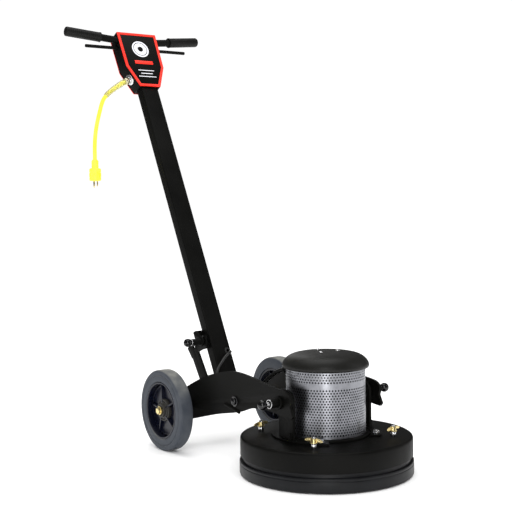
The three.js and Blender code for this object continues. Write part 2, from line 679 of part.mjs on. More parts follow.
function cordGland() {
  return rod(fromGland(GAP), fromGland(4), 18, 20).add(rod(fromGland(3), fromGland(11), 13, 16));
}

// ---------- cords ----------
const gripRoute = [
  [-67.1, 952.2, 1137.5], [-84, 950, 1130.3], [-103, CORD_Y, 1118.3], [-122, CORD_Y, 1105.8],
  [-137.5, CORD_Y, 1094], [-148, CORD_Y, 1083.5],
];
const cordRoute = [
  [-148.5, CORD_Y, 1083], [-156, CORD_Y, 1073.5], [-163, CORD_Y, 1059], [-170, CORD_Y, 1037],
  [-178.5, CORD_Y, 1007], [-185.5, CORD_Y, 977], [-190, CORD_Y, 948], [-192, CORD_Y, 922],
  [-192.6, CORD_Y, 897], [-192.6, CORD_Y, 874.3],
];

function cordPlug() {
  const x = cordRoute[cordRoute.length - 1][0];
  const neck = turned([[0, 874], [9, 874], [11, 866], [11, 845], [0, 845]], 12).translate([x, CORD_Y, 0]);
  const body = turned([
    [0, 846], [PLUG_R - 2, 846], [PLUG_R, 843], [PLUG_R, 808], [PLUG_R - 2, 804.5], [0, 804.5],
  ], 16).translate([x, CORD_Y, 0]);
  const blades = [-1, 1].map((side) => {
    const mid = x + side * 6.35;
    return block([mid - 0.8, CORD_Y - 5.2, 787], [mid + 0.8, CORD_Y + 1.1, 806]);
  });
  const ground = rod([x, CORD_Y + 8.5, 783], [x, CORD_Y + 8.5, 806], 2.4, 8);
  return joined([neck, body, ...blades, ground]);
}

// From the tube's front down inside the yoke to the clip on the cross tube, then up to the motor.
const rearCable = [
  [18, 484, 272], [8, 475, 271], [-14, 467, 259], [-34, 458, 244], [-53, 448, 228], [-66, 432, 208],
  [-76, 396, 190], [-84, 340, 186], [-90, 280, 194], [-92, 240, 203], [-92, 209, 205],
];
const frontCable = [
  [-92, 205, 205], [-91.5, 186, 211], [-89, 160, 230], [-82, 130, 254], [-73, 106, 269], [-63.6, 89.6, 274],
];

// ---------- assembly ----------
const machine = new THREE.Group();
const handle = new THREE.Group();
handle.position.set(0, TUBE_Y, 0);
handle.rotation.set(-LEAN, 0, 0);
machine.add(handle);

function add(name, shape, material, group = machine) {
  group.add(piece(name, shape, material));
}

add("deck_housing", deckHousing(), deckPaint);
add("skirt_ring", skirtRing(), rubber);
studAngles.forEach((angle, i) => {
  add(`skirt_stud_${i + 1}`, skirtStud(angle), stainless);
  add(`wing_nut_${i + 1}`, wingNut(angle), brass);
});

add("lower_end_bell", lowerEndBell(), blackPaint);
add("motor_can", ring(MOTOR_R - 5, MOTOR_R, BELL_TOP + GAP, CAN_TOP), blackPaint);
add("upper_end_bell", upperEndBell(), castAlloy);
add("lower_bearing", bearing(DECK_TOP - 4), steel);
add("upper_bearing", bearing(CAN_TOP - 6), steel);
add("brush_ring", ring(30, MOTOR_R - 5 - GAP, 228, 236), hubPlastic);
add("motor_screen", motorScreen(), stainless);
add("motor_cap", motorCap(), capPlastic);
screwSpots.forEach((at, i) => add(`cap_screw_${i + 1}`, capScrew(at), stainless));

add("motor_shaft", motorShaft(), steel);
add("armature", armature(), copper);
add("cooling_fan", coolingFan(), hubPlastic);
add("pad_driver", padDriver(), hubPlastic);
add("burnishing_pad", burnishingPad(), redPad);
add("pad_lock", padLock(), redTrim);

for (const [side, name] of [[1, "right"], [-1, "left"]]) {
  const place = (shape) => (side > 0 ? shape : mirrored(shape));
  add(`pivot_bracket_${name}`, place(pivotBracket()), blackPaint);
  add(`bracket_bolt_${name}`, place(bracketBolt()), steel);
  add(`yoke_arm_${name}`, place(yokeArm()), blackPaint);
  add(`pivot_pin_${name}`, place(pivotPin()), knobPlastic);
  add(`tyre_${name}`, onAxle(tyre(), side), tyreGrey);
  add(`hub_${name}`, onAxle(hub(), side), hubPlastic);
}
add("front_cross_tube", frontCrossTube(), blackPaint);
add("axle", axle(), brass);
add("lock_quadrant", lockQuadrant(), blackPaint);

add("handle_tube", handleTube(), blackPaint, handle);
add("hinge_barrel", hingeBarrel(), blackPaint, handle);
add("lock_bracket", lockBracket(), blackPaint, handle);
add("lock_plunger", lockPlunger(), knobPlastic, handle);
add("switch_housing", switchHousing(), blackPaint, handle);
add("housing_cover", housingCover(), redTrim, handle);
add("handlebar", handlebar(), blackPaint, handle);
add("grip_left", grip(-1), rubber, handle);
add("grip_right", grip(1), rubber, handle);
add("switch_bar", switchBar(), blackPaint, handle);
add("power_switch", powerSwitch(), hubPlastic, handle);
add("cord_gland", cordGland(), stainless, handle);

add("cord_grip", cordAlong(gripRoute, CORD_GRIP_R, 10, 8), wireMesh);
add("power_cord", cordAlong(cordRoute, CORD_R, 10, 14), yellow);
add("cord_plug", cordPlug(), yellow);
add("motor_cable_rear", cordAlong(rearCable, CABLE_R, 8, 24), rubber);
add("motor_cable_front", cordAlong(frontCable, SLEEVE_R, 8, 12), rubber);

machine.position.set(0, -MID_Y, 0);

const burnisher = new THREE.Group();
burnisher.add(machine);

export default burnisher;
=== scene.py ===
"""High speed floor burnisher: the finished surfaces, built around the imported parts.

Lengths in the building calls are millimetres, laid out about the middle of the deck on the floor.
Pieces on the handle are given as x, depth behind the tube's front face, height along the tube.
"""

import json
import math

import bpy
from mathutils import Matrix, Vector


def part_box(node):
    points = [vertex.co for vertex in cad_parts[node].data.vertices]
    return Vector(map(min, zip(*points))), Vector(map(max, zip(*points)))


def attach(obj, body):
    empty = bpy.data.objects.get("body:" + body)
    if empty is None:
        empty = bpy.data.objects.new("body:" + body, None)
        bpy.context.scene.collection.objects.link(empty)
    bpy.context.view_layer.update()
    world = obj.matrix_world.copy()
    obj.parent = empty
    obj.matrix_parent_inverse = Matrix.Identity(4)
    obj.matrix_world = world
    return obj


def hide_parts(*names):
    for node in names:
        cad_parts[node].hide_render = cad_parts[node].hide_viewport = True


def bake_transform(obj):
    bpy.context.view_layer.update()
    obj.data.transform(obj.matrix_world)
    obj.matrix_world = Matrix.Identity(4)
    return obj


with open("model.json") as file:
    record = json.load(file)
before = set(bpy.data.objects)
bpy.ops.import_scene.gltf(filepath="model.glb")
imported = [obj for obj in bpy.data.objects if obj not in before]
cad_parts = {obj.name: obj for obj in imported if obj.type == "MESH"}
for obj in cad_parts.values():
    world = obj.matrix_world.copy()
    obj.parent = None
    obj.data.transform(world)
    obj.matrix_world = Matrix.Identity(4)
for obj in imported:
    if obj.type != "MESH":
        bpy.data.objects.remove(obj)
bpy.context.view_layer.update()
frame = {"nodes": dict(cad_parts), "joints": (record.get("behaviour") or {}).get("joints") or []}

JOINTS = {joint["name"]: joint for joint in frame["joints"]}
DECK_Y = JOINTS["pad_spin"]["pos_m"][1]
AXLE_Z = JOINTS["handle_lean"]["pos_m"][2] * 1000
AXLE_Y = (JOINTS["handle_lean"]["pos_m"][1] - DECK_Y) * 1000
PIVOT_Z = JOINTS["yoke_tilt"]["pos_m"][2] * 1000
LEAN = math.radians(26.43)
TUBE_Y = 364.5
FULL_TURN = 2 * math.pi
SIDES = ((-1, "left"), (1, "right"))
SAME_POINT = 1e-6  # in metres
SMOOTH_BELOW = math.radians(38)


# ---- places ----
def mm(*values):
    return tuple(value / 1000 for value in values)


def from_deck(x, y, z):
    """A point given in mm from the middle of the deck, in the row frame in metres."""
    return Vector((x / 1000, y / 1000 + DECK_Y, z / 1000))


def at(x, y, z):
    """A move, in mm."""
    return Matrix.Translation(mm(x, y, z))


def spun(axis, angle=math.pi / 2):
    return Matrix.Rotation(angle, 4, axis)


def facing(direction):
    """The turn that points Z along a direction."""
    return direction.to_track_quat("Z", "Y").to_matrix().to_4x4()


DECK_PLACE = Matrix.Translation((0, DECK_Y, 0))
TUBE_PLACE = Matrix.Translation((0, DECK_Y + TUBE_Y / 1000, 0)) @ Matrix.Rotation(-LEAN, 4, "X")


# ---- camera and light ----
CAMERA_AT = (-1799.5, -2229.1, 727.2)


def set_camera():
    yaw, pitch, roll = 0.6154, 0.0485, -0.0132
    ahead = Vector((math.sin(yaw) * math.cos(pitch), math.cos(yaw) * math.cos(pitch), -math.sin(pitch)))
    level = Vector((math.cos(yaw), -math.sin(yaw), 0))
    above = level.cross(ahead)
    right = level * math.cos(roll) + above * math.sin(roll)
    up = above * math.cos(roll) - level * math.sin(roll)
    turn = Matrix((right, up, -ahead)).transposed().to_4x4()
    bpy.ops.object.camera_add()
    camera = bpy.context.object
    camera.name = "studio_camera"
    camera.matrix_world = Matrix.Translation(from_deck(*CAMERA_AT)) @ turn
    camera.data.sensor_width = 36
    camera.data.lens = 75.37
    camera.data.shift_y = -0.0029
    camera.data.clip_end = 50
    bpy.context.scene.camera = camera


def soft_light(name, place, target, width, height, power):
    bpy.ops.object.light_add(type="AREA", location=place)
    lamp = bpy.context.object
    lamp.name = name
    lamp.data.shape = "RECTANGLE"
    lamp.data.size = width
    lamp.data.size_y = height
    lamp.data.energy = power
    lamp.rotation_euler = (Vector(target) - Vector(place)).to_track_quat("-Z", "Y").to_euler()


def set_studio():
    middle = (0, -0.1, 0.35)
    soft_light("key_light", (-1.75, -2.5, 2.0), middle, 0.8, 1.6, 22)
    soft_light("low_light", (-1.4, -2.2, 0.24), (0, -0.41, 0.22), 0.36, 0.34, 7)
    soft_light("fill_light", (2.3, -1.9, 1.5), middle, 0.9, 1.8, 8)
    soft_light("top_light", (0.1, 0.2, 3.0), (0, 0.1, 0), 2.2, 2.2, 30)
    soft_light("back_light", (1.4, 2.8, 1.9), middle, 1.0, 1.8, 10)
    world = bpy.data.worlds.new("pale_room")
    bpy.context.scene.world = world
    world.use_nodes = True
    tree = world.node_tree
    tree.nodes.clear()
    rays = tree.nodes.new("ShaderNodeLightPath").outputs
    room = None
    for strength, ray in ((0.12, None), (1.15, "Is Diffuse Ray"), (1.05, "Is Camera Ray")):
        glow = add_node(tree, "Background", {"Color": (1, 1, 1, 1), "Strength": strength}).outputs[0]
        room = add_node(tree, "MixShader", {0: rays[ray], 1: room, 2: glow}).outputs[0] if ray else glow
    add_node(tree, "OutputWorld", {"Surface": room})
    bpy.context.scene.view_settings.view_transform = "Standard"


# ---- effects shared by the finishes ----
def add_node(tree, kind, values, **settings):
    """A node with its settings, and a value or a link for each of the given sockets."""
    node = tree.nodes.new("ShaderNode" + kind)
    for title, setting in settings.items():
        setattr(node, title, setting)
    for key, value in values.items():
        if isinstance(value, bpy.types.NodeSocket):
            tree.links.new(value, node.inputs[key])
        else:
            node.inputs[key].default_value = value
    return node


def open_group(name, values):
    """A node group with an input for each value, giving a colour, a roughness and a normal."""
    group = bpy.data.node_groups.new(name, "ShaderNodeTree")
    for title, value in values.items():
        kind = "Float" if isinstance(value, float) else "Vector" if len(value) == 3 else "Color"
        socket = group.interface.new_socket(name=title, in_out="INPUT", socket_type="NodeSocket" + kind)
        socket.default_value = value
    for title, kind in (("Colour", "Color"), ("Roughness", "Float"), ("Normal", "Vector")):
        group.interface.new_socket(name=title, in_out="OUTPUT", socket_type="NodeSocket" + kind)
    return group, group.nodes.new("NodeGroupInput").outputs


def close_group(group, colour, rough, pattern, strength, depth):
    """Ends a group with its colour, its roughness and the bump of a fine pattern, depth in metres."""
    values = {"Distance": depth, "Strength": strength, "Height": pattern}
    bump = add_node(group, "Bump", values).outputs["Normal"]
    end = group.nodes.new("NodeGroupOutput")
    for title, made in (("Colour", colour), ("Roughness", rough), ("Normal", bump)):
        group.links.new(made, end.inputs[title])
    return group


def add_noise(group, vector, scale, detail):
    return add_node(group, "TexNoise", {"Vector": vector, "Scale": scale, "Detail": detail}).outputs["Fac"]


def add_range(group, value, low, high, to_low=0.0, to_high=1.0):
    spans = {"Value": value, "From Min": low, "From Max": high, "To Min": to_low, "To Max": to_high}
    return add_node(group, "MapRange", spans).outputs["Result"]


def add_sum(group, operation, first, second):
    return add_node(group, "Math", {0: first, 1: second}, operation=operation).outputs["Value"]


def add_mix(group, share, first, second):
    return add_node(group, "Mix", {0: share, 6: first, 7: second}, data_type="RGBA").outputs[2]


def make_coat_group():
    """Paint, rubber and moulded plastic: a fine skin over slow blotches, and a pale tint on what faces up,
    which is dust, and where its amount is large, as on the tyre, painted top light.
    """
    group, given = open_group("skin_dust_and_top_light", {
        "Colour": (0.02, 0.02, 0.02, 1), "Second colour": (0.03, 0.03, 0.03, 1),
        "Dust and top light tint": (0.34, 0.33, 0.28, 1), "Dust and top light amount": 0.1, "Roughness": 0.4, "Spread": 0.1,
        "Blotch scale": 9.0, "Skin scale": 900.0, "Skin height": 0.3,
    })
    place = group.nodes.new("ShaderNodeTexCoord").outputs["Object"]
    blotch = add_noise(group, place, given["Blotch scale"], 5.0)
    skin = add_noise(group, place, given["Skin scale"], 2.0)
    shade = add_range(group, blotch, 0.35, 0.68)
    colour = add_mix(group, shade, given["Colour"], given["Second colour"])
    normal = group.nodes.new("ShaderNodeNewGeometry").outputs["Normal"]
    height = add_node(group, "SeparateXYZ", {"Vector": normal}).outputs["Z"]
    # A pale tint on faces that look up: dust where the amount is small, and painted top light where it is
    # large, as on the tyre.
    dust_and_top_light_mask = add_range(group, blotch, 0.3, 0.7, 0.3, 1.0)
    dust_and_top_light_mask = add_sum(group, "MULTIPLY", add_range(group, height, 0.4, 1.0), dust_and_top_light_mask)
    dust_and_top_light_share = add_sum(group, "MULTIPLY", dust_and_top_light_mask, given["Dust and top light amount"])
    colour = add_mix(group, dust_and_top_light_share, colour, given["Dust and top light tint"])
    wander = add_sum(group, "MULTIPLY", add_range(group, blotch, 0.3, 0.7, -0.5, 0.5), given["Spread"])
    rough = add_sum(group, "ADD", given["Roughness"], wander)
    rough = add_sum(group, "ADD", rough, add_sum(group, "MULTIPLY", dust_and_top_light_share, 0.5))
    return close_group(group, colour, rough, skin, given["Skin height"], 0.0004)


def make_metal_group():
    """Bare and plated metal: fine lines one way, handling marks and a slow change of tone."""
    group, given = open_group("metal_lines", {
        "Colour": (0.6, 0.6, 0.6, 1), "Dull colour": (0.4, 0.4, 0.4, 1), "Roughness": 0.25, "Spread": 0.15,
        "Line scale": 1400.0, "Line stretch": (1.0, 1.0, 0.03), "Line height": 0.15,
    })
    place = group.nodes.new("ShaderNodeTexCoord").outputs["Object"]
    drawn = add_node(group, "VectorMath", {0: place, 1: given["Line stretch"]}, operation="MULTIPLY")
    lines = add_noise(group, drawn.outputs["Vector"], given["Line scale"], 2.0)
    dull = add_range(group, add_noise(group, place, 45.0, 6.0), 0.45, 0.75)
    colour = add_mix(group, dull, given["Colour"], given["Dull colour"])
    wander = add_sum(group, "MULTIPLY", add_range(group, lines, 0.3, 0.7), given["Spread"])
    rough = add_sum(group, "ADD", given["Roughness"], wander)
    rough = add_sum(group, "ADD", rough, add_sum(group, "MULTIPLY", dull, 0.12))
    return close_group(group, colour, rough, lines, given["Line height"], 0.0002)


COAT = make_coat_group()
METAL = make_metal_group()
FINISHES, SLOT_OF = {}, {}


def new_finish(name, slot, group, values, metallic=0.0, coat=0.0, sheen=0.0, shine=0.5):
    finish = bpy.data.materials.new(name)
    finish.use_nodes = True
    tree = finish.node_tree
    shader = tree.nodes["Principled BSDF"]
    for title, value in (("Metallic", metallic), ("Specular IOR Level", shine), ("Coat Weight", coat),
                         ("Coat Roughness", 0.25), ("Sheen Weight", sheen)):
        shader.inputs[title].default_value = value
    effect = add_node(tree, "Group", values, node_tree=group)
    for made, title in (("Colour", "Base Color"), ("Roughness", "Roughness"), ("Normal", "Normal")):
        tree.links.new(effect.outputs[made], shader.inputs[title])
    FINISHES[name] = finish
    SLOT_OF[finish.name] = slot
    return finish


def coat_finish(name, slot, colour, second, rough, spread=0.12, dust_and_top_light=0.06, blotch=9.0, skin=900.0,
                height=0.3, **more):
    values = {
        "Colour": (*colour, 1.0), "Second colour": (*second, 1.0), "Dust and top light amount": dust_and_top_light, "Roughness": rough,
        "Spread": spread, "Blotch scale": blotch, "Skin scale": skin, "Skin height": height,
    }
    return new_finish(name, slot, COAT, values, **more)


def metal_finish(name, slot, colour, dull, rough, spread=0.12, stretch=(1.0, 1.0, 0.03), height=0.12):
    values = {
        "Colour": (*colour, 1.0), "Dull colour": (*dull, 1.0), "Roughness": rough, "Spread": spread,
        "Line stretch": stretch, "Line height": height,
    }
    return new_finish(name, slot, METAL, values, metallic=1.0)


coat_finish("powder_black", "black_paint", (0.0022, 0.0022, 0.0019), (0.004, 0.004, 0.0034), 0.5,
            dust_and_top_light=0.004, height=0.35, shine=0.09)
coat_finish("deck_black", "deck_paint", (0.002, 0.002, 0.0017), (0.004, 0.0038, 0.0032), 0.5,
            dust_and_top_light=0.006, shine=0.09)
coat_finish("cap_black", "cap_plastic", (0.005, 0.005, 0.004), (0.009, 0.0088, 0.007), 0.5, dust_and_top_light=0.02,
            skin=500.0, height=0.5, shine=0.3)
coat_finish("skirt_rubber", "skirt_rubber", (0.003, 0.0034, 0.0042), (0.006, 0.0066, 0.008), 0.42,
            dust_and_top_light=0.01, blotch=22.0, shine=0.22)
coat_finish("black_plastic", "black_plastic", (0.003, 0.003, 0.0034), (0.005, 0.005, 0.006), 0.45,
            dust_and_top_light=0.01, shine=0.2)
coat_finish("hub_navy", "hub_plastic", (0.002, 0.0028, 0.009), (0.004, 0.0052, 0.013), 0.3, dust_and_top_light=0.015,
            shine=0.35)
coat_finish("hub_boss", "hub_plastic", (0.018, 0.017, 0.015), (0.03, 0.028, 0.025), 0.5, dust_and_top_light=0.06,
            shine=0.3)
# The tyre's large up-facing amount paints its upper faces pale beige: partly dust, and partly painted top
# light.
coat_finish("tyre_grey", "tyre_rubber", (0.038, 0.045, 0.058), (0.056, 0.063, 0.075), 0.62, blotch=30.0,
            dust_and_top_light=0.6, skin=700.0, height=0.5, shine=0.35)
coat_finish("knob_gloss", "knob_plastic", (0.0015, 0.0015, 0.0018), (0.0025, 0.0025, 0.003), 0.14,
            dust_and_top_light=0.0, height=0.04, shine=0.5)
coat_finish("grip_rubber", "grip_rubber", (0.003, 0.003, 0.0028), (0.005, 0.005, 0.0046), 0.5,
            dust_and_top_light=0.01, height=0.6, shine=0.22)
coat_finish("cable_rubber", "cable_rubber", (0.005, 0.005, 0.005), (0.009, 0.009, 0.009), 0.3,
            dust_and_top_light=0.02)
coat_finish("trim_red", "cover_paint", (0.78, 0.014, 0.003), (0.84, 0.02, 0.005), 0.4, dust_and_top_light=0.0,
            height=0.15, shine=0.3)
coat_finish("lock_red", "red_plastic", (0.5, 0.015, 0.01), (0.6, 0.025, 0.015), 0.4)
coat_finish("mark_white", "cover_paint", (0.72, 0.73, 0.78), (0.8, 0.8, 0.84), 0.45, dust_and_top_light=0.02,
            height=0.1)
coat_finish("cord_yellow", "cord_yellow", (0.93, 0.87, 0.035), (0.97, 0.93, 0.07), 0.42, dust_and_top_light=0.03,
            blotch=40.0, height=0.2)
coat_finish("pad_fibre", "pad_fibre", (0.42, 0.31, 0.19), (0.6, 0.48, 0.33), 0.95, blotch=160.0,
            skin=600.0, height=1.0, sheen=0.3)
coat_finish("winding", "wound_copper", (0.28, 0.09, 0.03), (0.42, 0.16, 0.06), 0.35, blotch=60.0,
            coat=0.5)
metal_finish("stainless", "stainless", (0.3, 0.305, 0.33), (0.24, 0.245, 0.265), 0.3, spread=0.08)
metal_finish("plated", "bright_steel", (0.82, 0.82, 0.83), (0.62, 0.62, 0.62), 0.14, height=0.05)
metal_finish("turned_steel", "plain_steel", (0.5, 0.5, 0.51), (0.33, 0.32, 0.31), 0.28,
             stretch=(0.03, 0.03, 1))
metal_finish("cast_alloy", "cast_alloy", (0.55, 0.55, 0.56), (0.38, 0.38, 0.38), 0.5, stretch=(1, 1, 1),
             height=0.6)
metal_finish("brass", "brass", (0.86, 0.72, 0.36), (0.62, 0.47, 0.2), 0.2, stretch=(1, 1, 0.2))
metal_finish("grip_wire", "wire_mesh", (0.85, 0.8, 0.55), (0.7, 0.66, 0.5), 0.3)


# ---- workshop ----
def put_down():
    """Leaves edit mode and deselects everything."""
    if bpy.context.mode != "OBJECT":
        bpy.ops.object.mode_set(mode="OBJECT")
    bpy.ops.object.select_all(action="DESELECT")


def take(piece):
    put_down()
    piece.select_set(True)
    bpy.context.view_layer.objects.active = piece
    return piece


def named(name):
    piece = bpy.context.object
    piece.name = name
    piece.data.name = name
    return piece


def edit_all(piece):
    take(piece)
    bpy.ops.object.mode_set(mode="EDIT")
    bpy.ops.mesh.select_all(action="SELECT")


def select_where(piece, kind, wanted):
    """Enters edit mode with only the wanted points ("VERT") or faces ("FACE") selected."""
    edit_all(piece)
    bpy.ops.mesh.select_mode(type=kind)
    bpy.ops.mesh.select_all(action="DESELECT")
    bpy.ops.object.mode_set(mode="OBJECT")
    for part in piece.data.vertices if kind == "VERT" else piece.data.polygons:
        part.select = wanted(part)
    bpy.ops.object.mode_set(mode="EDIT")


def face_out(piece, merge=0):
    """Merges points closer than a distance in metres, and turns every face outwards."""
    edit_all(piece)
    if merge:
        bpy.ops.mesh.remove_doubles(threshold=merge)
    bpy.ops.mesh.normals_make_consistent(inside=False)
    put_down()
    return piece


def settle():
    """Bakes the active piece's place, turn and size into its mesh."""
    bpy.ops.object.transform_apply(location=True, rotation=True, scale=True)


def drop(*pieces):
    for piece in pieces:
        bpy.data.objects.remove(piece)


def draw(name, points):
    """A chain of edges through points in metres, left in edit mode."""
    put_down()
    bpy.ops.mesh.primitive_plane_add(size=0.001, location=(0, 0, 0))
    piece = named(name)
    bpy.ops.object.mode_set(mode="EDIT")
    bpy.ops.mesh.select_mode(type="VERT")
    bpy.ops.mesh.merge(type="CENTER")
    bpy.ops.transform.translate(value=points[0])
    for here, there in zip(points, points[1:]):
        step = tuple(b - a for a, b in zip(here, there))
        bpy.ops.mesh.extrude_region_move(TRANSFORM_OT_translate={"value": step})
    bpy.ops.mesh.select_all(action="SELECT")
    bpy.ops.mesh.remove_doubles(threshold=SAME_POINT)
    return piece


def use(piece, kind, **values):
    """Adds a modifier and applies it."""
    take(piece)
    modifier = piece.modifiers.new(kind.lower(), kind)
    for title, value in values.items():
        setattr(modifier, title, value)
    bpy.ops.object.modifier_apply(modifier=modifier.name)
    return piece


def soften(piece, width=0.8, segments=2, angle=32):
    """Rounds the sharp edges and smooths the rest."""
    if width:
        use(piece, "BEVEL", width=width / 1000, segments=segments, limit_method="ANGLE",
            angle_limit=math.radians(angle), use_clamp_overlap=True, harden_normals=False)
    take(piece)
    bpy.ops.object.shade_smooth_by_angle(angle=SMOOTH_BELOW)
    return piece


def turned(name, profile, steps=96, width=0.8, segments=2):
    """A closed profile of (radius, height) points in mm, spun about Z."""
    piece = draw(name, [mm(r, 0, z) for r, z in [*profile, profile[0]]])
    bpy.ops.mesh.spin(steps=steps, angle=FULL_TURN, center=(0, 0, 0), axis=(0, 0, 1))
    return soften(face_out(piece, SAME_POINT), width, segments)


def bar(name, start, end, radius, sides=48, width=0.6):
    """A round bar between two points in mm."""
    a, b = Vector(mm(*start)), Vector(mm(*end))
    put_down()
    turn = (b - a).to_track_quat("Z", "Y").to_euler()
    bpy.ops.mesh.primitive_cylinder_add(
        vertices=sides, radius=radius / 1000, depth=(b - a).length, location=(a + b) / 2, rotation=turn,
    )
    piece = named(name)
    settle()
    return soften(piece, width)


def block(name, low, high, width=0.8):
    """A rectangular block between two corners in mm."""
    a, b = Vector(mm(*low)), Vector(mm(*high))
    put_down()
    bpy.ops.mesh.primitive_cube_add(size=1, location=(a + b) / 2)
    piece = named(name)
    piece.scale = b - a
    settle()
    return soften(piece, width)


def plate(name, outline, across, width=0.8):
    """A flat outline of points in metres, filled and thickened along a vector in metres."""
    piece = draw(name, [*outline, outline[0]])
    bpy.ops.mesh.edge_face_add()
    bpy.ops.mesh.extrude_region_move(TRANSFORM_OT_translate={"value": across})
    return soften(face_out(piece), width)


def side_plate(name, outline, x, thickness, width=0.8):
    """An outline of (y, z) points in mm, standing at x and thickened along X."""
    return plate(name, [mm(x, y, z) for y, z in outline], mm(thickness, 0, 0), width)


def front_plate(name, outline, y, thickness, width=0.8):
    """An outline of (x, z) points in mm, standing at y and thickened along Y."""
    return plate(name, [mm(x, y, z) for x, z in outline], mm(0, thickness, 0), width)


def combine(operation, piece, others):
    for other in others:
        use(piece, "BOOLEAN", operation=operation, object=other, solver="EXACT")
        drop(other)
    return piece


def cut(piece, *tools):
    """Takes each tool's shape out of the piece."""
    return combine("DIFFERENCE", piece, tools)


def fuse(piece, *others):
    """Joins solids into one body."""
    return combine("UNION", piece, others)


def gather(name, *parts):
    """Several separate shells as one piece."""
    put_down()
    for part in parts:
        part.select_set(True)
    bpy.context.view_layer.objects.active = parts[0]
    if len(parts) > 1:
        bpy.ops.object.join()
    return named(name)


def again(piece, name):
    """A second one, with a mesh of its own."""
    take(piece)
    bpy.ops.object.duplicate()
    return named(name)


def put(piece, place):
    """Moves a piece and bakes the move into its mesh."""
    take(piece)
    piece.matrix_world = place
    settle()
    return piece


def other_side(piece, name):
    """The piece's mirror image across the middle of the machine."""
    copy = again(piece, name)
    copy.scale = (-1, 1, 1)
    settle()
    return face_out(copy)


def refined(node, name, width):
    """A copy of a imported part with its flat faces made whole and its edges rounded."""
    copy = frame["nodes"][node].copy()
    copy.data = frame["nodes"][node].data.copy()
    copy.parent = None
    for key in list(copy.keys()):
        del copy[key]
    bpy.context.scene.collection.objects.link(copy)
    edit_all(copy)
    named(name)
    bpy.ops.mesh.remove_doubles(threshold=2e-5)
    bpy.ops.mesh.dissolve_limited(angle_limit=math.radians(0.8))
    put_down()
    return soften(copy, width, angle=30)


def keep_shape(node, name, width, finish, body):
    """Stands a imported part's own rounded copy in for it."""
    fit(refined(node, name, width), finish, body, node, place=None)


def tube_along(name, points, radius, closed=False, sides=5, turns=8):
    """A round bar of a radius in mm along points in metres, as a smooth curve."""
    put_down()
    bpy.ops.curve.primitive_nurbs_path_add(location=(0, 0, 0))
    curve = named(name)
    curve.data.splines.clear()
    spline = curve.data.splines.new("BEZIER")
    spline.bezier_points.add(len(points) - 1)
    for knot, point in zip(spline.bezier_points, points):
        knot.co = point
        knot.handle_left_type = knot.handle_right_type = "AUTO"
    spline.resolution_u = turns
    spline.use_cyclic_u = closed
    curve.data.dimensions = "3D"
    curve.data.use_path = False
    curve.data.bevel_depth = radius / 1000
    curve.data.bevel_resolution = sides
    curve.data.use_fill_caps = not closed
    return curve


def to_mesh(curve):
    take(curve)
    bpy.ops.object.convert(target="MESH")
    return soften(face_out(bpy.context.object, 1e-7), 0)


def paint(piece, finish):
    piece.data.materials.clear()
    piece.data.materials.append(FINISHES[finish])
    return piece


def fit(piece, finish, body, *nodes, place=DECK_PLACE):
    """Puts a finished piece in its place, paints it, hangs it on its body and hides the imported parts it
    stands in for.
    """
    if place is not None:
        put(piece, place)
    if finish:
        paint(piece, finish)
    if body:
        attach(piece, body)
    if nodes:
        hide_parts(*nodes)
    return piece


def on_tube(piece, finish, *nodes):
    """Puts a piece on the handle, where it was laid out along the tube."""
    return fit(piece, finish, "handle", *nodes, place=TUBE_PLACE)


def ring_point(radius, angle):
    return radius * math.cos(angle), radius * math.sin(angle)


def arc(centre, radius, start, end, steps):
    """Points in mm on an arc, angles in degrees."""
    made = []
    for i in range(steps + 1):
        angle = math.radians(start + (end - start) * i / steps)
        made.append((centre[0] + radius * math.cos(angle), centre[1] + radius * math.sin(angle)))
    return made


def curve_through(points, steps=6):
    """A smooth line through 2-D points."""
    line = [points[0], *points, points[-1]]
    made = []
    for a, b, c, d in zip(line, line[1:], line[2:], line[3:]):
        for i in range(steps):
            t = i / steps
            made.append(tuple(
                0.5 * (2 * q + (r - p) * t + (2 * p - 5 * q + 4 * r - s) * t * t
                       + (3 * q - p - 3 * r + s) * t ** 3)
                for p, q, r, s in zip(a, b, c, d)
            ))
    return [*made, points[-1]]


# ---- supply lead ----
GRIP_LINE = [
    (-67.1, 952.2, 1137.5), (-84, 950, 1130.3), (-103, 951, 1118.3), (-122, 951, 1105.8),
    (-137.5, 951, 1094), (-148, 951, 1083.5),
]
CORD_LINE = [
    (-156, 951, 1073.5), (-163, 951, 1059), (-170, 951, 1037), (-178.5, 951, 1007),
    (-185.5, 951, 977), (-190, 951, 948), (-192, 951, 922), (-192.6, 951, 897), (-192.6, 951, 873),
]
PLUG_AT = (-192.6, 951)
WIRES, WIRE_TURNS = 9, 1.6


def smooth_line(points, steps):
    return [Vector(p) for p in curve_through([tuple(p) for p in points], steps)]


def around(line, i, angle, radius):
    """A point beside one of a line's points, at an angle round the line and a radius in metres."""
    ahead = (line[min(i + 1, len(line) - 1)] - line[max(i - 1, 0)]).normalized()
    first = Vector((0, 1, 0)).cross(ahead).normalized()
    return line[i] + (first * math.cos(angle) + ahead.cross(first) * math.sin(angle)) * radius


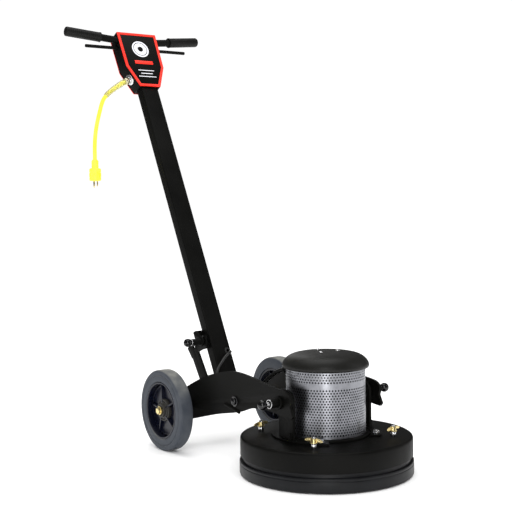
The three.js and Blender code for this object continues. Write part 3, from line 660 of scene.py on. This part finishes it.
def build_plug():
    body = turned("plug_body", [
        (0, 874), (8.4, 874), (10.4, 871), (11, 866), (11, 848), (12, 846.4), (17, 845.4), (18.6, 843),
        (19, 839), (19, 833), (18.2, 831.6), (18.2, 817), (19, 815.6), (19, 808), (18, 805.6), (16, 804.6),
        (0, 804.6),
    ], 56, 0.5)
    ribs = [turned(f"plug_rib_{i}", [
        (8, top), (11, top), (11.7, top - 0.8), (11.7, top - 2.2), (8, top - 3),
    ], 40, 0.3) for i, top in enumerate([869 - i * 5.4 for i in range(4)])]
    for i in range(12):
        x, y = ring_point(18.6, i * FULL_TURN / 12)
        ribs.append(bar(f"plug_flute_{i}", (x, y, 818), (x, y, 830.5), 0.9, 10, 0.3))
    yellow = paint(gather("plug_yellow", body, *ribs), "cord_yellow")
    pins = [block(f"blade_{side}", (side * 6.35 - 0.75, -5.2, 787), (side * 6.35 + 0.75, 1.1, 806), 0.35)
            for side in (-1, 1)]
    pins.append(bar("ground_pin", (0, 8.5, 783), (0, 8.5, 806), 2.4, 24, 0.9))
    metal = paint(gather("plug_pins", *pins), "brass")
    plug = gather("cord_plug_moulded", yellow, metal)
    return fit(plug, None, "handle", "cord_plug", place=Matrix.Translation(from_deck(*PLUG_AT, 0)))


def build_cord_grip():
    """Two sets of wires wound opposite ways round the lead, under a pressed collar."""
    line = smooth_line([from_deck(*p) for p in GRIP_LINE], 9)
    last = len(line) - 1
    parts = []
    for sense in (-1, 1):
        for wire in range(WIRES):
            path = []
            for i in range(len(line)):
                share = i / last
                angle = sense * share * WIRE_TURNS * FULL_TURN + wire * FULL_TURN / WIRES
                weave = 0.3 * math.cos(share * WIRE_TURNS * 2 * WIRES * math.pi + wire * math.pi) * sense
                path.append(around(line, i, angle, (10.2 - 2.6 * share + weave) / 1000))
            parts.append(to_mesh(tube_along(f"wire_{sense}_{wire}", path, 0.5, sides=1, turns=2)))
    for i, radius in ((1, 0.0102), (last - 1, 0.0078)):
        loop = [around(line, i, step * FULL_TURN / 24, radius) for step in range(24)]
        parts.append(to_mesh(tube_along(f"end_loop_{i}", loop, 0.8, closed=True, sides=3, turns=2)))
    ferrule = turned("ferrule", [
        (8.4, 0), (11.6, 0), (11.9, 1), (11.9, 9), (11, 11), (9.6, 11.6), (8.4, 11.6),
    ], 48, 0.4)
    start = Matrix.Translation(line[0] + (line[1] - line[0]) * 0.1)
    parts.append(put(ferrule, start @ facing(line[2] - line[0])))
    return fit(gather("cord_grip_mesh", *parts), "grip_wire", "handle", "cord_grip", place=None)


def build_lead():
    plug = build_plug()
    grip = build_cord_grip()
    route = [from_deck(*p) for p in [*GRIP_LINE, *CORD_LINE]]
    lead = tube_along("supply_lead", route, 6.5, sides=6, turns=10)
    paint(lead, "cord_yellow")
    fit(lead, None, "handle", "power_cord", place=None)


# ---- deck and skirt ----
STUD_R = 180
NUT_Z = 116.3
STUD_TURNS = [math.radians(41 + i * 90) for i in range(4)]


def build_deck():
    deck = turned("deck_shell", [
        (45.5, 103), (224, 103), (228, 102.4), (230.8, 100.4), (231.8, 97.4), (232, 94),
        (232, 53), (230.8, 50.6), (226, 50), (226, 91), (221, 97), (45.5, 97),
    ], 160, 0.5)
    fit(deck, "deck_black", "base", "deck_housing")
    skirt = turned("skirt_moulding", [
        (228, 2), (231.4, 2), (233.2, 3.4), (234, 6), (234, 30), (233, 31), (233, 33), (234, 34), (234, 37.4),
        (233, 39.4), (231, 40), (225.6, 40), (225.4, 50), (225.4, 74), (168, 74), (168, 70), (219.4, 70),
        (219.4, 34), (228, 30),
    ], 160, 0.5)
    fit(skirt, "skirt_rubber", "base", "skirt_ring")


def build_stud():
    """A threaded stud in a bright spacer."""
    profile = [(0, 74.3), (4.4, 74.3)]
    height = 75
    while height < 132.5:
        profile += [(4.4, height), (5, height + 0.6)]
        height += 1.25
    profile += [(4.6, 133.2), (3.9, 134), (0, 134)]
    thread = turned("thread", profile, 24, 0)
    spacer = turned("spacer", [(5.05, 103.3), (7.5, 103.3), (7.5, 115.9), (5.05, 115.9)], 40, 0.7)
    return gather("stud", thread, spacer)


def build_wing_nut():
    """A stamped nut: a conical hub and two arched ears."""
    hub = turned("hub", [
        (5.3, 0), (9.6, 0), (10.2, 1), (10.2, 3), (8.6, 5), (7.6, 12), (6.6, 13.2), (5.3, 13.2),
    ], 40, 0.4)
    ear = curve_through([(6, 6), (12, 5.6), (19, 4.8), (24.6, 4.2), (27.4, 5.8), (27.2, 8.4), (23.6, 10.4),
                         (17, 12.2), (11, 13), (6, 13.2)], 5)
    ears = []
    for side in (-1, 1):
        ears.append(face_out(front_plate(f"ear_{side}", [(side * x, z) for x, z in ear], -1.1, 2.2)))
        rim = [mm(side * (x * 0.93 + 1.1), 0, z * 0.88 + 1.1) for x, z in ear[::3]]
        ears.append(to_mesh(tube_along(f"ear_rim_{side}", rim, 1.5, closed=True, sides=3, turns=4)))
    return gather("nut", hub, *ears)


def build_fasteners():
    stud, nut = build_stud(), build_wing_nut()
    for i, angle in enumerate(STUD_TURNS, 1):
        x, y = ring_point(STUD_R, angle)
        place = DECK_PLACE @ at(x, y, 0)
        fit(again(stud, f"stud_{i}_bright"), "plated", "base", f"skirt_stud_{i}", place=place)
        place = DECK_PLACE @ at(x, y, NUT_Z) @ spun("Z", angle + math.radians(62))
        fit(again(nut, f"wing_nut_{i}_brass"), "brass", f"wing_nut_{i}", f"wing_nut_{i}", place=place)
    drop(stud, nut)


# ---- motor ----
SCREEN_R, SCREEN_LOW, SCREEN_HIGH = 106.0, 110.3, 283.0
COLUMNS, ROW_RISE, ROWS_BELOW, ROWS_ABOVE = 83, 6.95, 18, 4
HOLE_R = 0.00245  # in metres


def screen_cell(pitch):
    """One cell of the sheet, laid flat, with a round hole in it."""
    put_down()
    bpy.ops.mesh.primitive_plane_add(size=1, location=(0, 0, 0))
    cell = named("screen_cell")
    cell.scale = mm(pitch, ROW_RISE, 1)
    settle()
    edit_all(cell)
    bpy.ops.mesh.subdivide(number_cuts=1)
    select_where(cell, "VERT", lambda point: point.co.length < 1e-5)
    bpy.ops.mesh.bevel(offset=0.0026, segments=2, affect="VERTICES", profile=0.5)
    select_where(cell, "FACE", lambda face: face.center.length < 0.0021)
    bpy.ops.mesh.delete(type="FACE")
    put_down()
    for vertex in cell.data.vertices:
        if vertex.co.length < 0.003:
            vertex.co *= HOLE_R / vertex.co.length
    return cell


def build_screen():
    """Perforated sheet rolled round the motor: staggered rows of holes, and plain foot, band and head."""
    pitch = FULL_TURN * SCREEN_R / COLUMNS
    cell = screen_cell(pitch)
    use(cell, "ARRAY", count=COLUMNS, use_relative_offset=False, use_constant_offset=True,
        constant_offset_displace=(pitch / 1000, 0, 0), use_merge_vertices=True, merge_threshold=1e-5)
    foot = SCREEN_LOW + 5
    band = foot + ROWS_BELOW * ROW_RISE
    above = band + 13.8
    heights = [foot + row * ROW_RISE for row in range(ROWS_BELOW)]
    heights += [above + row * ROW_RISE for row in range(ROWS_ABOVE)]
    strips = [put(again(cell, f"row_{row}"), at((row % 2) * pitch / 2, height + ROW_RISE / 2, 0))
              for row, height in enumerate(heights)]
    drop(cell)
    for name, bottom, top in (("foot", SCREEN_LOW, foot), ("band", band, above),
                              ("head", above + ROWS_ABOVE * ROW_RISE, SCREEN_HIGH)):
        put_down()
        bpy.ops.mesh.primitive_grid_add(x_subdivisions=COLUMNS * 2, y_subdivisions=1, size=1,
                                        location=(0, 0, 0))
        one = named(f"plain_{name}")
        one.scale = mm(pitch * COLUMNS, top - bottom, 1)
        one.location = mm(pitch * (COLUMNS - 1) / 2, (bottom + top) / 2, 0)
        settle()
        strips.append(one)
    sheet = gather("screen_sheet", *strips)
    for vertex in sheet.data.vertices:
        turn = vertex.co.x * 1000 / SCREEN_R
        vertex.co = mm(*ring_point(SCREEN_R, turn), vertex.co.y * 1000)
    face_out(sheet, 2e-5)
    use(sheet, "SOLIDIFY", thickness=0.001, offset=0)
    fit(soften(sheet, 0), "stainless", "base", "motor_screen")
    seam = block("screen_seam", (-3, -0.6, 112), (3, 0.6, 281), 0.4)
    place = DECK_PLACE @ spun("Z", math.radians(52)) @ at(SCREEN_R + 0.8, 0, 0) @ spun("Z")
    fit(seam, "stainless", "base", place=place)


def build_cap():
    cap = turned("cap_moulding", [
        (0, 327), (30, 326.8), (48, 326), (64, 324.6), (76, 323), (86, 320.8), (94, 318), (101, 314.2),
        (107, 309.5), (111.4, 304.6), (114.5, 300), (116.4, 295.6), (117, 291.6), (116.7, 288.4),
        (115, 285.6), (111, 284), (101.6, 284), (99.6, 289), (97, 297), (76, 310), (48, 317), (44, 300.4),
        (0, 300.4),
    ], 144, 1.4, 3)
    fit(cap, "cap_black", "base", "motor_cap")
    head = turned("screw_head", [
        (0, 330.8), (2, 330.6), (4.2, 329.9), (5.6, 328.6), (6, 327.4), (5.6, 327), (2.4, 326.4),
        (2.4, 287), (0, 287),
    ], 40, 0.25)
    cut(head, *[block("slot", (-x, -y, 329), (x, y, 333), 0) for x, y in ((3.2, 0.5), (0.5, 3.2))])
    for i, turn in enumerate((90, 210, 330), 1):
        place = DECK_PLACE @ at(*ring_point(33, math.radians(turn)), 0)
        fit(again(head, f"cap_screw_{i}_bright"), "plated", "base", f"cap_screw_{i}", place=place)
    drop(head)


def build_motor():
    build_screen()
    build_cap()
    bell = turned("drive_end_bell", [
        (20.3, 116), (33, 116), (40, 110), (115.6, 110), (117, 108.6), (117, 103.3), (45, 103.3), (45, 92),
        (20.3, 92),
    ], 128, 0.5)
    fit(bell, "powder_black", "base", "lower_end_bell")
    can = turned("frame_can", [(87, 110.3), (92, 110.3), (92, 262), (87, 262)], 96, 0.8)
    fit(can, "black_plastic", "base", "motor_can")
    gland = gather(
        "motor_gland",
        turned("gland_nut", [(6.4, 4), (10, 4), (10, 11), (9, 13.5), (6.4, 13.5)], 6, 0.6),
        turned("gland_foot", [(6.4, -6), (9.6, -6), (9.6, 4), (6.4, 4)], 40, 0.6),
    )
    place = DECK_PLACE @ at(-61.2, 86.4, 274) @ facing(Vector((-7.5, 13, -4)))
    fit(gland, "black_plastic", "base", place=place)


def build_pad():
    pad = turned("fibre_pad", [
        (44, 0.6), (60, 0), (212, 0), (215.2, 2.2), (216, 6), (216, 14), (215.2, 17.8), (212, 20), (46, 20),
        (44, 18),
    ], 160, 1.5, 3)
    use(pad, "SUBSURF", subdivision_type="SIMPLE", levels=1, render_levels=1)
    texture = bpy.data.textures.new("fibre_loft", "CLOUDS")
    texture.noise_scale = 0.006
    use(pad, "DISPLACE", texture=texture, strength=0.0012, mid_level=0.9, texture_coords="LOCAL")
    fit(pad, "pad_fibre", "pad_drive", "burnishing_pad")
    lock = turned("lock_cup", [
        (0, 8), (36, 8), (41, 9.4), (43, 12), (43, 20), (41, 24), (36, 27), (22, 31), (0, 29),
    ], 96, 0.8)
    cut(lock, *[put(block("flute", (-3, 37, 5), (3, 50, 22), 0), spun("Z", i * FULL_TURN / 8))
                for i in range(8)])
    fit(soften(lock, 0), "lock_red", "pad_drive", "pad_lock")
    driver = turned("pad_driver_disc", [
        (8.8, 32), (18, 32), (25, 40), (26, 44), (60, 40), (206, 30), (208, 28), (208, 20.3), (50, 20.3),
        (44, 34), (28, 34), (27, 44), (27, 84), (22, 88), (8.8, 88),
    ], 96, 0.6)
    fit(driver, "black_plastic", "pad_drive", "pad_driver")


# ---- pivot brackets ----
def build_bracket():
    """A curved foot on the deck and an upright cheek with its boss, for the right side."""
    foot_line = [*arc((0, 0), 148, -54, 54, 40), *arc((0, 0), 119.5, 54, -54, 36)]
    foot = plate("foot", [mm(x, y, 103.3) for x, y in foot_line], mm(0, 0, 6), 0)
    cheek_line = [(-31, 104), (31, 104), (31, PIVOT_Z), *arc((0, PIVOT_Z), 31, 0, 180, 32)]
    cheek = side_plate("cheek", cheek_line, 127, 8, 0)
    boss = bar("boss", (128, 0, PIVOT_Z), (147.7, 0, PIVOT_Z), 17, 48, 0)
    rib = side_plate("rib", [(-26, 104), (-20, 104), (-20, 127), (-26, 127)], 130, 12, 0)
    bracket = fuse(foot, cheek, boss, rib)
    cut(bracket, bar("bore", (100, 0, PIVOT_Z), (160, 0, PIVOT_Z), 8.3, 32, 0))
    bracket.name = "bracket_steel_right"
    return soften(bracket)


def build_bracket_bolt():
    x, y = ring_point(133.5, -math.pi / 4)
    head = turned("hex_head", [(0, 111.4), (8.6, 111.4), (8.6, 116.4), (0, 116.4)], 6, 0.5)
    washer = turned("washer", [(0, 109.5), (9.4, 109.5), (9.4, 111.3), (0, 111.3)], 40, 0.3)
    crown = turned("crown", [(0, 116), (7, 116), (6, 117.2), (0, 117.4)], 40, 0.2)
    bolt = gather("bracket_bolt_bright_right", head, washer, crown)
    return put(bolt, at(x, y, 0))


# ---- yoke ----
CROSS_AT = (205, 180)


def arm_line():
    """The arm's outline, (y, z) in mm: along the bottom, round the axle, and back over the top."""
    low = curve_through([(-27, 170), (50, 177), (123, 172), (192, 151), (300, 129), (433, 95), (468, 87)], 7)
    heel = arc((AXLE_Y, AXLE_Z), 36, -117, 72, 26)
    high = curve_through([(478, 169), (453, 190), (351, 232), (251, 257), (199, 262), (130, 257), (68, 247),
                          (-10, 238), (-33, 233), (-47, 223), (-50, 212)], 7)
    return [*low, *heel, *high, (-45, 198), (-56, 176), (-50, 168)]


def build_arm():
    arm = side_plate("arm", arm_line(), 148, 8, 0)
    cut(arm, *[bar("bore", (140, y, z), (165, y, z), radius, 32, 0)
               for y, z, radius in ((0, PIVOT_Z, 8.3), (AXLE_Y, AXLE_Z, 10.3), (*CROSS_AT, 6.3))])
    soften(arm, 0.9)
    nut = turned("nut", [(11.4, 155.9), (17, 155.9), (17, 162.4), (15.6, 163.2), (11.4, 163.2)], 64, 0.5)
    barrel = turned("barrel", [(8.3, 155), (11.5, 155), (11.5, 185), (10.4, 186), (8.3, 186)], 64, 0.4)
    for part in (nut, barrel):
        put(part, at(0, 0, PIVOT_Z) @ spun("Y"))
    step = bar("step_bar", (158, 254, 166), (158, 181, 152), 4, 24, 1.2)
    return gather("yoke_arm_steel_right", arm, nut, barrel, step)


BALL_R = 13


def ball_line(middle, radius):
    """Half the outline of a ball knob on a neck of 4.6 mm, from the neck to the far pole."""
    start = math.asin(4.6 / radius)
    angles = [start + (math.pi - start) * i / 20 for i in range(21)]
    return [(max(0.0, radius * math.sin(a)), middle - radius * math.cos(a)) for a in angles]


def build_pivot_pin():
    """A pull pin: bright pin and collar, and a polished ball knob."""
    pin = turned("pin", [(0, 136), (7.2, 136), (8, 137), (8, 184.8), (5, 184.8), (5, 206), (0, 206)], 48, 0.3)
    rim = turned("rim", [(10.4, 186.4), (12.2, 186.4), (12.2, 188.8), (11.6, 189.4), (10.4, 189.4)], 64, 0.3)
    bright = gather("bright", pin, rim)
    paint(bright, "plated")
    boss = turned("boss", [(5, 186.4), (10.3, 186.4), (10.3, 188.4), (9, 189.4), (5, 189.4)], 64, 0.4)
    paint(boss, "powder_black")
    knob = turned("knob", [*ball_line(210, BALL_R), (0, 210), (4.6, 210)], 64, 0)
    paint(knob, "knob_gloss")
    whole = gather("pivot_pin_knob_right", bright, boss, knob)
    return put(whole, at(0, 0, PIVOT_Z) @ spun("Y"))


def at_both_ends(*turnings):
    """Turned parts laid out for one end of a bar along Z, and made again for the other end."""
    return [put(turned(name, profile, steps, width), spun("X", turn))
            for turn in (math.pi, 0) for name, profile, steps, width in turnings]


def build_cross_tube():
    tube = turned("tube", [(6, -147.7), (16, -147.7), (16, 147.7), (6, 147.7)], 64, 0.6)
    paint(tube, "powder_black")
    dome = [(0, 168.2), (4, 167.8), (7.4, 166.2), (9.6, 163.4), (10.2, 160.6), (9.8, 159.2), (0, 159.2)]
    bolts = gather("bolts", *at_both_ends(
        ("washer", [(4, 156.3), (15, 156.3), (15, 159.2), (4, 159.2)], 64, 0.5), ("dome", dome, 56, 0.4),
    ))
    paint(bolts, "knob_gloss")
    return put(gather("cross_tube_steel", tube, bolts), at(0, *CROSS_AT) @ spun("Y"))


def build_axle():
    shaft = turned("shaft", [(0, -231), (10, -231), (10, 231), (0, 231)], 48, 0.4)
    whole = gather("axle_bright", shaft, *at_both_ends(
        ("washer", [(9, 228.6), (12.6, 228.6), (12.6, 230.6), (9, 230.6)], 56, 0.4),
        ("hex", [(0, 230.6), (10.6, 230.6), (10.6, 236.6), (0, 236.6)], 6, 0.8),
        ("crown", [(0, 236), (8.6, 236), (7.4, 237.3), (0, 237.5)], 48, 0.3),
    ))
    return put(whole, at(0, AXLE_Y, AXLE_Z) @ spun("Y"))


def build_yoke():
    for piece, finish, body, name in (
        (build_bracket(), "powder_black", "base", "pivot_bracket"),
        (build_bracket_bolt(), "plated", "base", "bracket_bolt"),
        (build_arm(), "powder_black", "yoke", "yoke_arm"),
        (build_pivot_pin(), None, "pull_pin_", "pivot_pin"),
    ):
        twin = other_side(piece, piece.name.replace("right", "left"))
        for one, side in ((piece, "right"), (twin, "left")):
            fit(one, finish, body + side if body == "pull_pin_" else body, f"{name}_{side}")
    fit(build_cross_tube(), None, "yoke", "front_cross_tube")
    fit(build_axle(), "brass", "yoke", "axle")
    keep_shape("lock_quadrant", "quadrant_steel", 0.8, "powder_black", "yoke")


# ---- wheels, built with the outer face up ----
WHEEL_X = 205


def build_tyre():
    return turned("tyre", [
        (84.3, -22.5), (100, -22.5), (112, -21.6), (116.6, -19), (118.6, -15), (119, -8), (119, 0), (119, 14),
        (118.4, 18), (116.4, 20.4), (112.6, 21.6), (106, 22), (105, 20.6), (103.4, 20.2), (101.8, 20.6),
        (100.8, 22.2), (92, 22.5), (86.4, 22.3), (84.3, 20.6),
    ], 144, 0.5)


def build_hub():
    """A dished rim, a web with five thin ribs, and a stepped boss."""
    rim = turned("rim", [
        (77, -20), (84, -20), (84, 20.6), (82.6, 21.4), (79, 21.4), (77.6, 20), (76, 8), (77, 3),
    ], 128, 0.6)
    web = turned("web", [(17, -3), (78, -3), (78, 3), (17, 3)], 96, 0.3)
    ribs = []
    for i in range(5):
        rib = side_plate(f"rib_{i}", [(16, -11), (78, -11), (78, 9), (60, 11), (16, 15.5)], -2.6, 5.2, 0.9)
        ribs.append(put(rib, spun("Z", math.radians(90 + i * 72 - 25))))
    ring = turned("inner_ring", [(70, 2), (74, 2), (74, 6), (70, 6)], 96, 0.6)
    dark = gather("hub_dark", rim, web, ring, *ribs)
    paint(dark, "hub_navy")
    boss = turned("boss", [
        (10.3, -44), (19, -44), (20, -43), (20, -3), (33, -3), (33, 11.6), (31.6, 13), (28, 13), (27.4, 10.6),
        (25.6, 10.6), (25, 14), (22, 15), (20, 15), (20, 20), (19, 21.4), (15, 21.4), (14.4, 19), (10.3, 19),
    ], 72, 0.6)
    paint(boss, "hub_boss")
    return gather("hub", dark, boss)


def build_wheels():
    tyre, hub = build_tyre(), build_hub()
    for side, name in SIDES:
        place = DECK_PLACE @ at(side * WHEEL_X, AXLE_Y, AXLE_Z) @ spun("Y", side * math.pi / 2)
        fit(again(tyre, f"tyre_{name}_rubber"), "tyre_grey", f"wheel_{name}", f"tyre_{name}", place=place)
        fit(again(hub, f"hub_{name}_moulded"), None, f"wheel_{name}", f"hub_{name}", place=place)
    drop(tyre, hub)


# ---- handle ----
CABLE_HOLE = (18, 306)


def rounded_box(half, near, far, radius, steps=6):
    """A rectangle with round corners, (x, depth) points."""
    corners = ((half - radius, near + radius), (half - radius, far - radius), (radius - half, far - radius),
               (radius - half, near + radius))
    return [point for i, corner in enumerate(corners)
            for point in arc(corner, radius, i * 90 - 90, i * 90, steps)]


def build_tube():
    outer = plate("handle_tube_steel", [mm(x, d, 150) for x, d in rounded_box(31.75, 0, 36, 5)],
                  mm(0, 0, 1150), 0)
    inner = plate("bore", [mm(x, d, 140) for x, d in rounded_box(28.75, 3, 33, 2.4)], mm(0, 0, 1170), 0)
    x, height = CABLE_HOLE
    cut(outer, inner, bar("cable_hole", (x, -10, height), (x, 8, height), 8, 32, 0))
    on_tube(soften(outer, 0.5), "powder_black", "handle_tube")
    grommet = turned("cable_grommet", [
        (4.7, -1.6), (9.4, -1.6), (10.4, -0.4), (10.4, 0), (7.8, 0.4), (7.8, 3), (4.7, 3),
    ], 48, 0.3)
    fit(grommet, "cable_rubber", "handle", place=TUBE_PLACE @ at(x, 0, height) @ spun("X", -math.pi / 2))


def build_lock():
    keep_shape("hinge_barrel", "hinge_steel", 0.9, "powder_black", "handle")
    keep_shape("lock_bracket", "lock_bracket_steel", 0.9, "powder_black", "handle")
    low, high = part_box("lock_plunger")
    y, z = (low.y + high.y) / 2, (low.z + high.z) / 2
    ball_x = low.x * 1000 + BALL_R
    pin = turned("pin", [(0, -46.3), (4.2, -46.3), (5, -47.4), (5, ball_x + 12), (0, ball_x + 12)], 40, 0)
    collar = turned("collar", [
        (5, -84.4), (9.4, -84.4), (10, -85), (10, -87), (9.4, -87.6), (5, -87.6),
    ], 56, 0.3)
    bright = paint(face_out(gather("bright", pin, collar)), "plated")
    outline = [(r, -h) for r, h in ball_line(-ball_x, BALL_R)] + [(0, ball_x), (4.6, ball_x)]
    knob = paint(turned("knob", outline, 64, 0), "knob_gloss")
    place = Matrix.Translation((0, y, z)) @ spun("Y")
    fit(gather("lock_knob", bright, knob), None, "lock_pin", "lock_plunger", place=place)


BOX_LINE = [(38.5, 1247), (71.5, 1324), (74, 1456), (-74, 1456), (-71.5, 1324), (-38.5, 1247)]
FACE_DEPTH = -6.6


def inset_line(points, amount):
    """The outline drawn in by an equal width all round."""
    made = []
    for i, here in enumerate(points):
        before, after = Vector(points[i - 1]), Vector(points[(i + 1) % len(points)])
        here = Vector(here)
        a, b = (here - before).normalized(), (after - here).normalized()
        na, nb = Vector((-a.y, a.x)), Vector((-b.y, b.x))
        corner = (na + nb).normalized()
        made.append(tuple(here + corner * (amount / corner.dot(na))))
    return made


def red_border(name, outer, inner, depth, thickness, width):
    """A flat red border between two insets of the housing's outline."""
    strip = front_plate(name, inset_line(BOX_LINE, outer), depth, thickness, 0)
    cut(strip, front_plate("window", inset_line(BOX_LINE, inner), depth - 5, thickness + 10, 0))
    on_tube(soften(strip, width), "trim_red")


def build_label(depth):
    """A plain badge: a ringed disc, a red bar and three pale lines."""
    disc = turned("disc", [(0, 0), (31, 0), (31, 0.5), (0, 0.5)], 96, 0.2)
    ring_cut = turned("groove", [(23.6, -2), (26, -2), (26, 2), (23.6, 2)], 96, 0)
    eye = turned("eye", [(0, -2), (10, -2), (10, 2), (0, 2)], 64, 0)
    cut(disc, ring_cut, eye)
    marks = [put(disc, at(0, depth, 1393) @ spun("X"))]
    for width, height in ((30, 1309), (22, 1297), (33, 1285)):
        marks.append(block("line", (-width, depth - 0.45, height - 1.3), (width, depth, height + 1.3), 0.2))
    pale = gather("badge_pale_marks", *marks)
    on_tube(pale, "mark_white")
    red = block("badge_red_bar", (-34, depth - 0.45, 1334), (34, depth, 1347), 0.2)
    on_tube(red, "trim_red")


def build_housing():
    keep_shape("switch_housing", "housing_shell", 0.7, "powder_black", "handle")
    cover = front_plate("housing_face", inset_line(BOX_LINE, 2.2), FACE_DEPTH, 2.0, 0.4)
    on_tube(cover, "powder_black", "housing_cover")
    red_border("front_border", 0, 9.2, -7.4, 3.1, 0.7)
    red_border("back_border", -1.1, 4, 44.6, 1.8, 0.5)
    build_label(FACE_DEPTH)
    keep_shape("power_switch", "switch_block", 0.8, "black_plastic", "handle")


def grip_profile():
    """A ribbed rubber grip with a flange at its inner end and a closed round end."""
    profile = [(12.3, 0), (16.6, 0), (17, 0.8), (17, 3.4), (16, 4.6)]
    for i in range(15):
        start = 9 + i * 6.9
        profile += [(16, start), (16, start + 5.4), (15.6, start + 5.8), (15.6, start + 6.4)]
    return [*profile, (16, 114), (16, 118), (14.8, 121.6), (11.4, 123.6), (6, 124), (0, 124), (0, 121),
            (12.3, 120.6)]


def build_bars():
    root, end = Vector((68, 8, 1432)), Vector((250, 16.5, 1457))
    flip = lambda p: Vector((-p.x, p.y, p.z))
    near = root + (end - root).normalized() * 16
    points = [flip(end), flip(near), flip(root) + Vector((12, -0.4, -1.2)), Vector((0, 7.4, 1431)),
              root + Vector((-12, -0.4, -1.2)), near, end]
    rod = to_mesh(tube_along("handlebar_tube", [p / 1000 for p in points], 12, sides=8, turns=10))
    stem = block("stem", (-24, 2, 1300.3), (24, 12, 1421), 1.2)
    on_tube(gather("handlebar_steel", rod, stem), "powder_black", "handlebar")
    way = (end - root).normalized()
    inner = end + way * (4 - 124)
    for side, name in SIDES:
        grip = turned(f"grip_{name}_ribbed", grip_profile(), 64, 0.35)
        flow = Vector((side * way.x, way.y, way.z))
        place = TUBE_PLACE @ at(side * inner.x, inner.y, inner.z) @ facing(flow)
        fit(grip, "grip_rubber", "handle", f"grip_{name}", place=place)
    rod = bar("bar", (-191, 18, 1407.5), (191, 18, 1407.5), 5.5, 32, 1.6)
    tongue = block("tongue", (-7, 15, 1387.5), (7, 22, 1407.5), 0.8)
    fit(gather("squeeze_rod", rod, tongue), "powder_black", "squeeze_bar", "switch_bar", place=TUBE_PLACE)


def build_gland():
    """A bright hexagon, a domed nut and a smooth lip, standing on the housing's lower left slope."""
    foot = turned("foot", [(9, 0.3), (18, 0.3), (18.4, 1), (17.6, 3), (15, 4), (9, 4)], 64, 0.3)
    hexagon = turned("hexagon", [(9, 4), (15.4, 4), (15.4, 7.4), (9, 7.4)], 6, 0.8)
    nut = turned("nut", [(9, 7.4), (13, 7.4), (13.2, 9), (12.4, 10.6), (10.6, 11.2), (9, 11.2)], 56, 0.4)
    gland = gather("lead_gland", foot, hexagon, nut)
    low, high = Vector((-38.5, 20, 1247)), Vector((-71.5, 20, 1324))
    slope = high - low
    out = Vector((-slope.z, 0, slope.x)).normalized()
    place = TUBE_PLACE @ at(*(low + high) / 2) @ facing(out)
    fit(gland, "plated", "handle", "cord_gland", place=place)


# ---- motor cable ----
CLIP_AT = (-92, 207, 205)
REAR_LINE = [
    (18, 484, 272), (8, 475, 271), (-14, 467, 259), (-34, 458, 244), (-53, 448, 228), (-66, 432, 208),
    (-76, 396, 190), (-84, 340, 186), (-90, 280, 194), (-92, 240, 203), (-92, 209, 205),
]
FRONT_LINE = [
    (-92, 205, 205), (-91.5, 186, 211), (-89, 160, 230), (-82, 130, 254), (-73, 106, 269), (-63.6, 89.6, 274),
]


def build_motor_cable():
    for name, line, radius, node, bodies in (
        ("cable_rear_jacket", REAR_LINE, 4.5, "motor_cable_rear", ("handle", "yoke")),
        ("cable_front_jacket", FRONT_LINE, 6, "motor_cable_front", ("yoke", "base")),
    ):
        points = [from_deck(*p) for p in line]
        cable = to_mesh(tube_along(name, points, radius, sides=5, turns=8))
        fit(cable, "cable_rubber", None, node, place=None)
        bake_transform(cable)
    clip = turned("clip_band", [(6.1, -6), (7.4, -6), (7.4, 6), (6.1, 6)], 40, 0.4)
    tab = block("clip_tab", (-6, -9.6, -6), (6, -7, 6), 0.6)
    whole = gather("cable_clip", clip, tab)
    place = DECK_PLACE @ at(*CLIP_AT) @ spun("X")
    fit(whole, "plated", "yoke", place=place)


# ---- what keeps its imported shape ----
def paint_packed_parts():
    for node, finish in (
        ("upper_end_bell", "cast_alloy"), ("lower_bearing", "turned_steel"),
        ("upper_bearing", "turned_steel"), ("brush_ring", "black_plastic"),
        ("motor_shaft", "turned_steel"), ("armature", "winding"),
        ("cooling_fan", "black_plastic"),
    ):
        paint(frame["nodes"][node], finish)


def lay_floor():
    put_down()
    bpy.ops.mesh.primitive_plane_add(size=14, location=(0, 0, 0))
    floor = named("floor")
    take(floor)
    settle()
    floor.data.materials.append(coat_finish(
        "pale_floor", None, (0.97, 0.97, 0.97), (0.98, 0.98, 0.98), 0.6, dust_and_top_light=0.0, blotch=1.5, skin=200.0,
        height=0.05, shine=0.0,
    ))


set_camera()
build_lead()
build_deck()
build_fasteners()
build_motor()
build_pad()
build_yoke()
build_wheels()
build_tube()
build_lock()
build_housing()
build_bars()
build_gland()
build_motor_cable()
paint_packed_parts()
lay_floor()
set_studio()
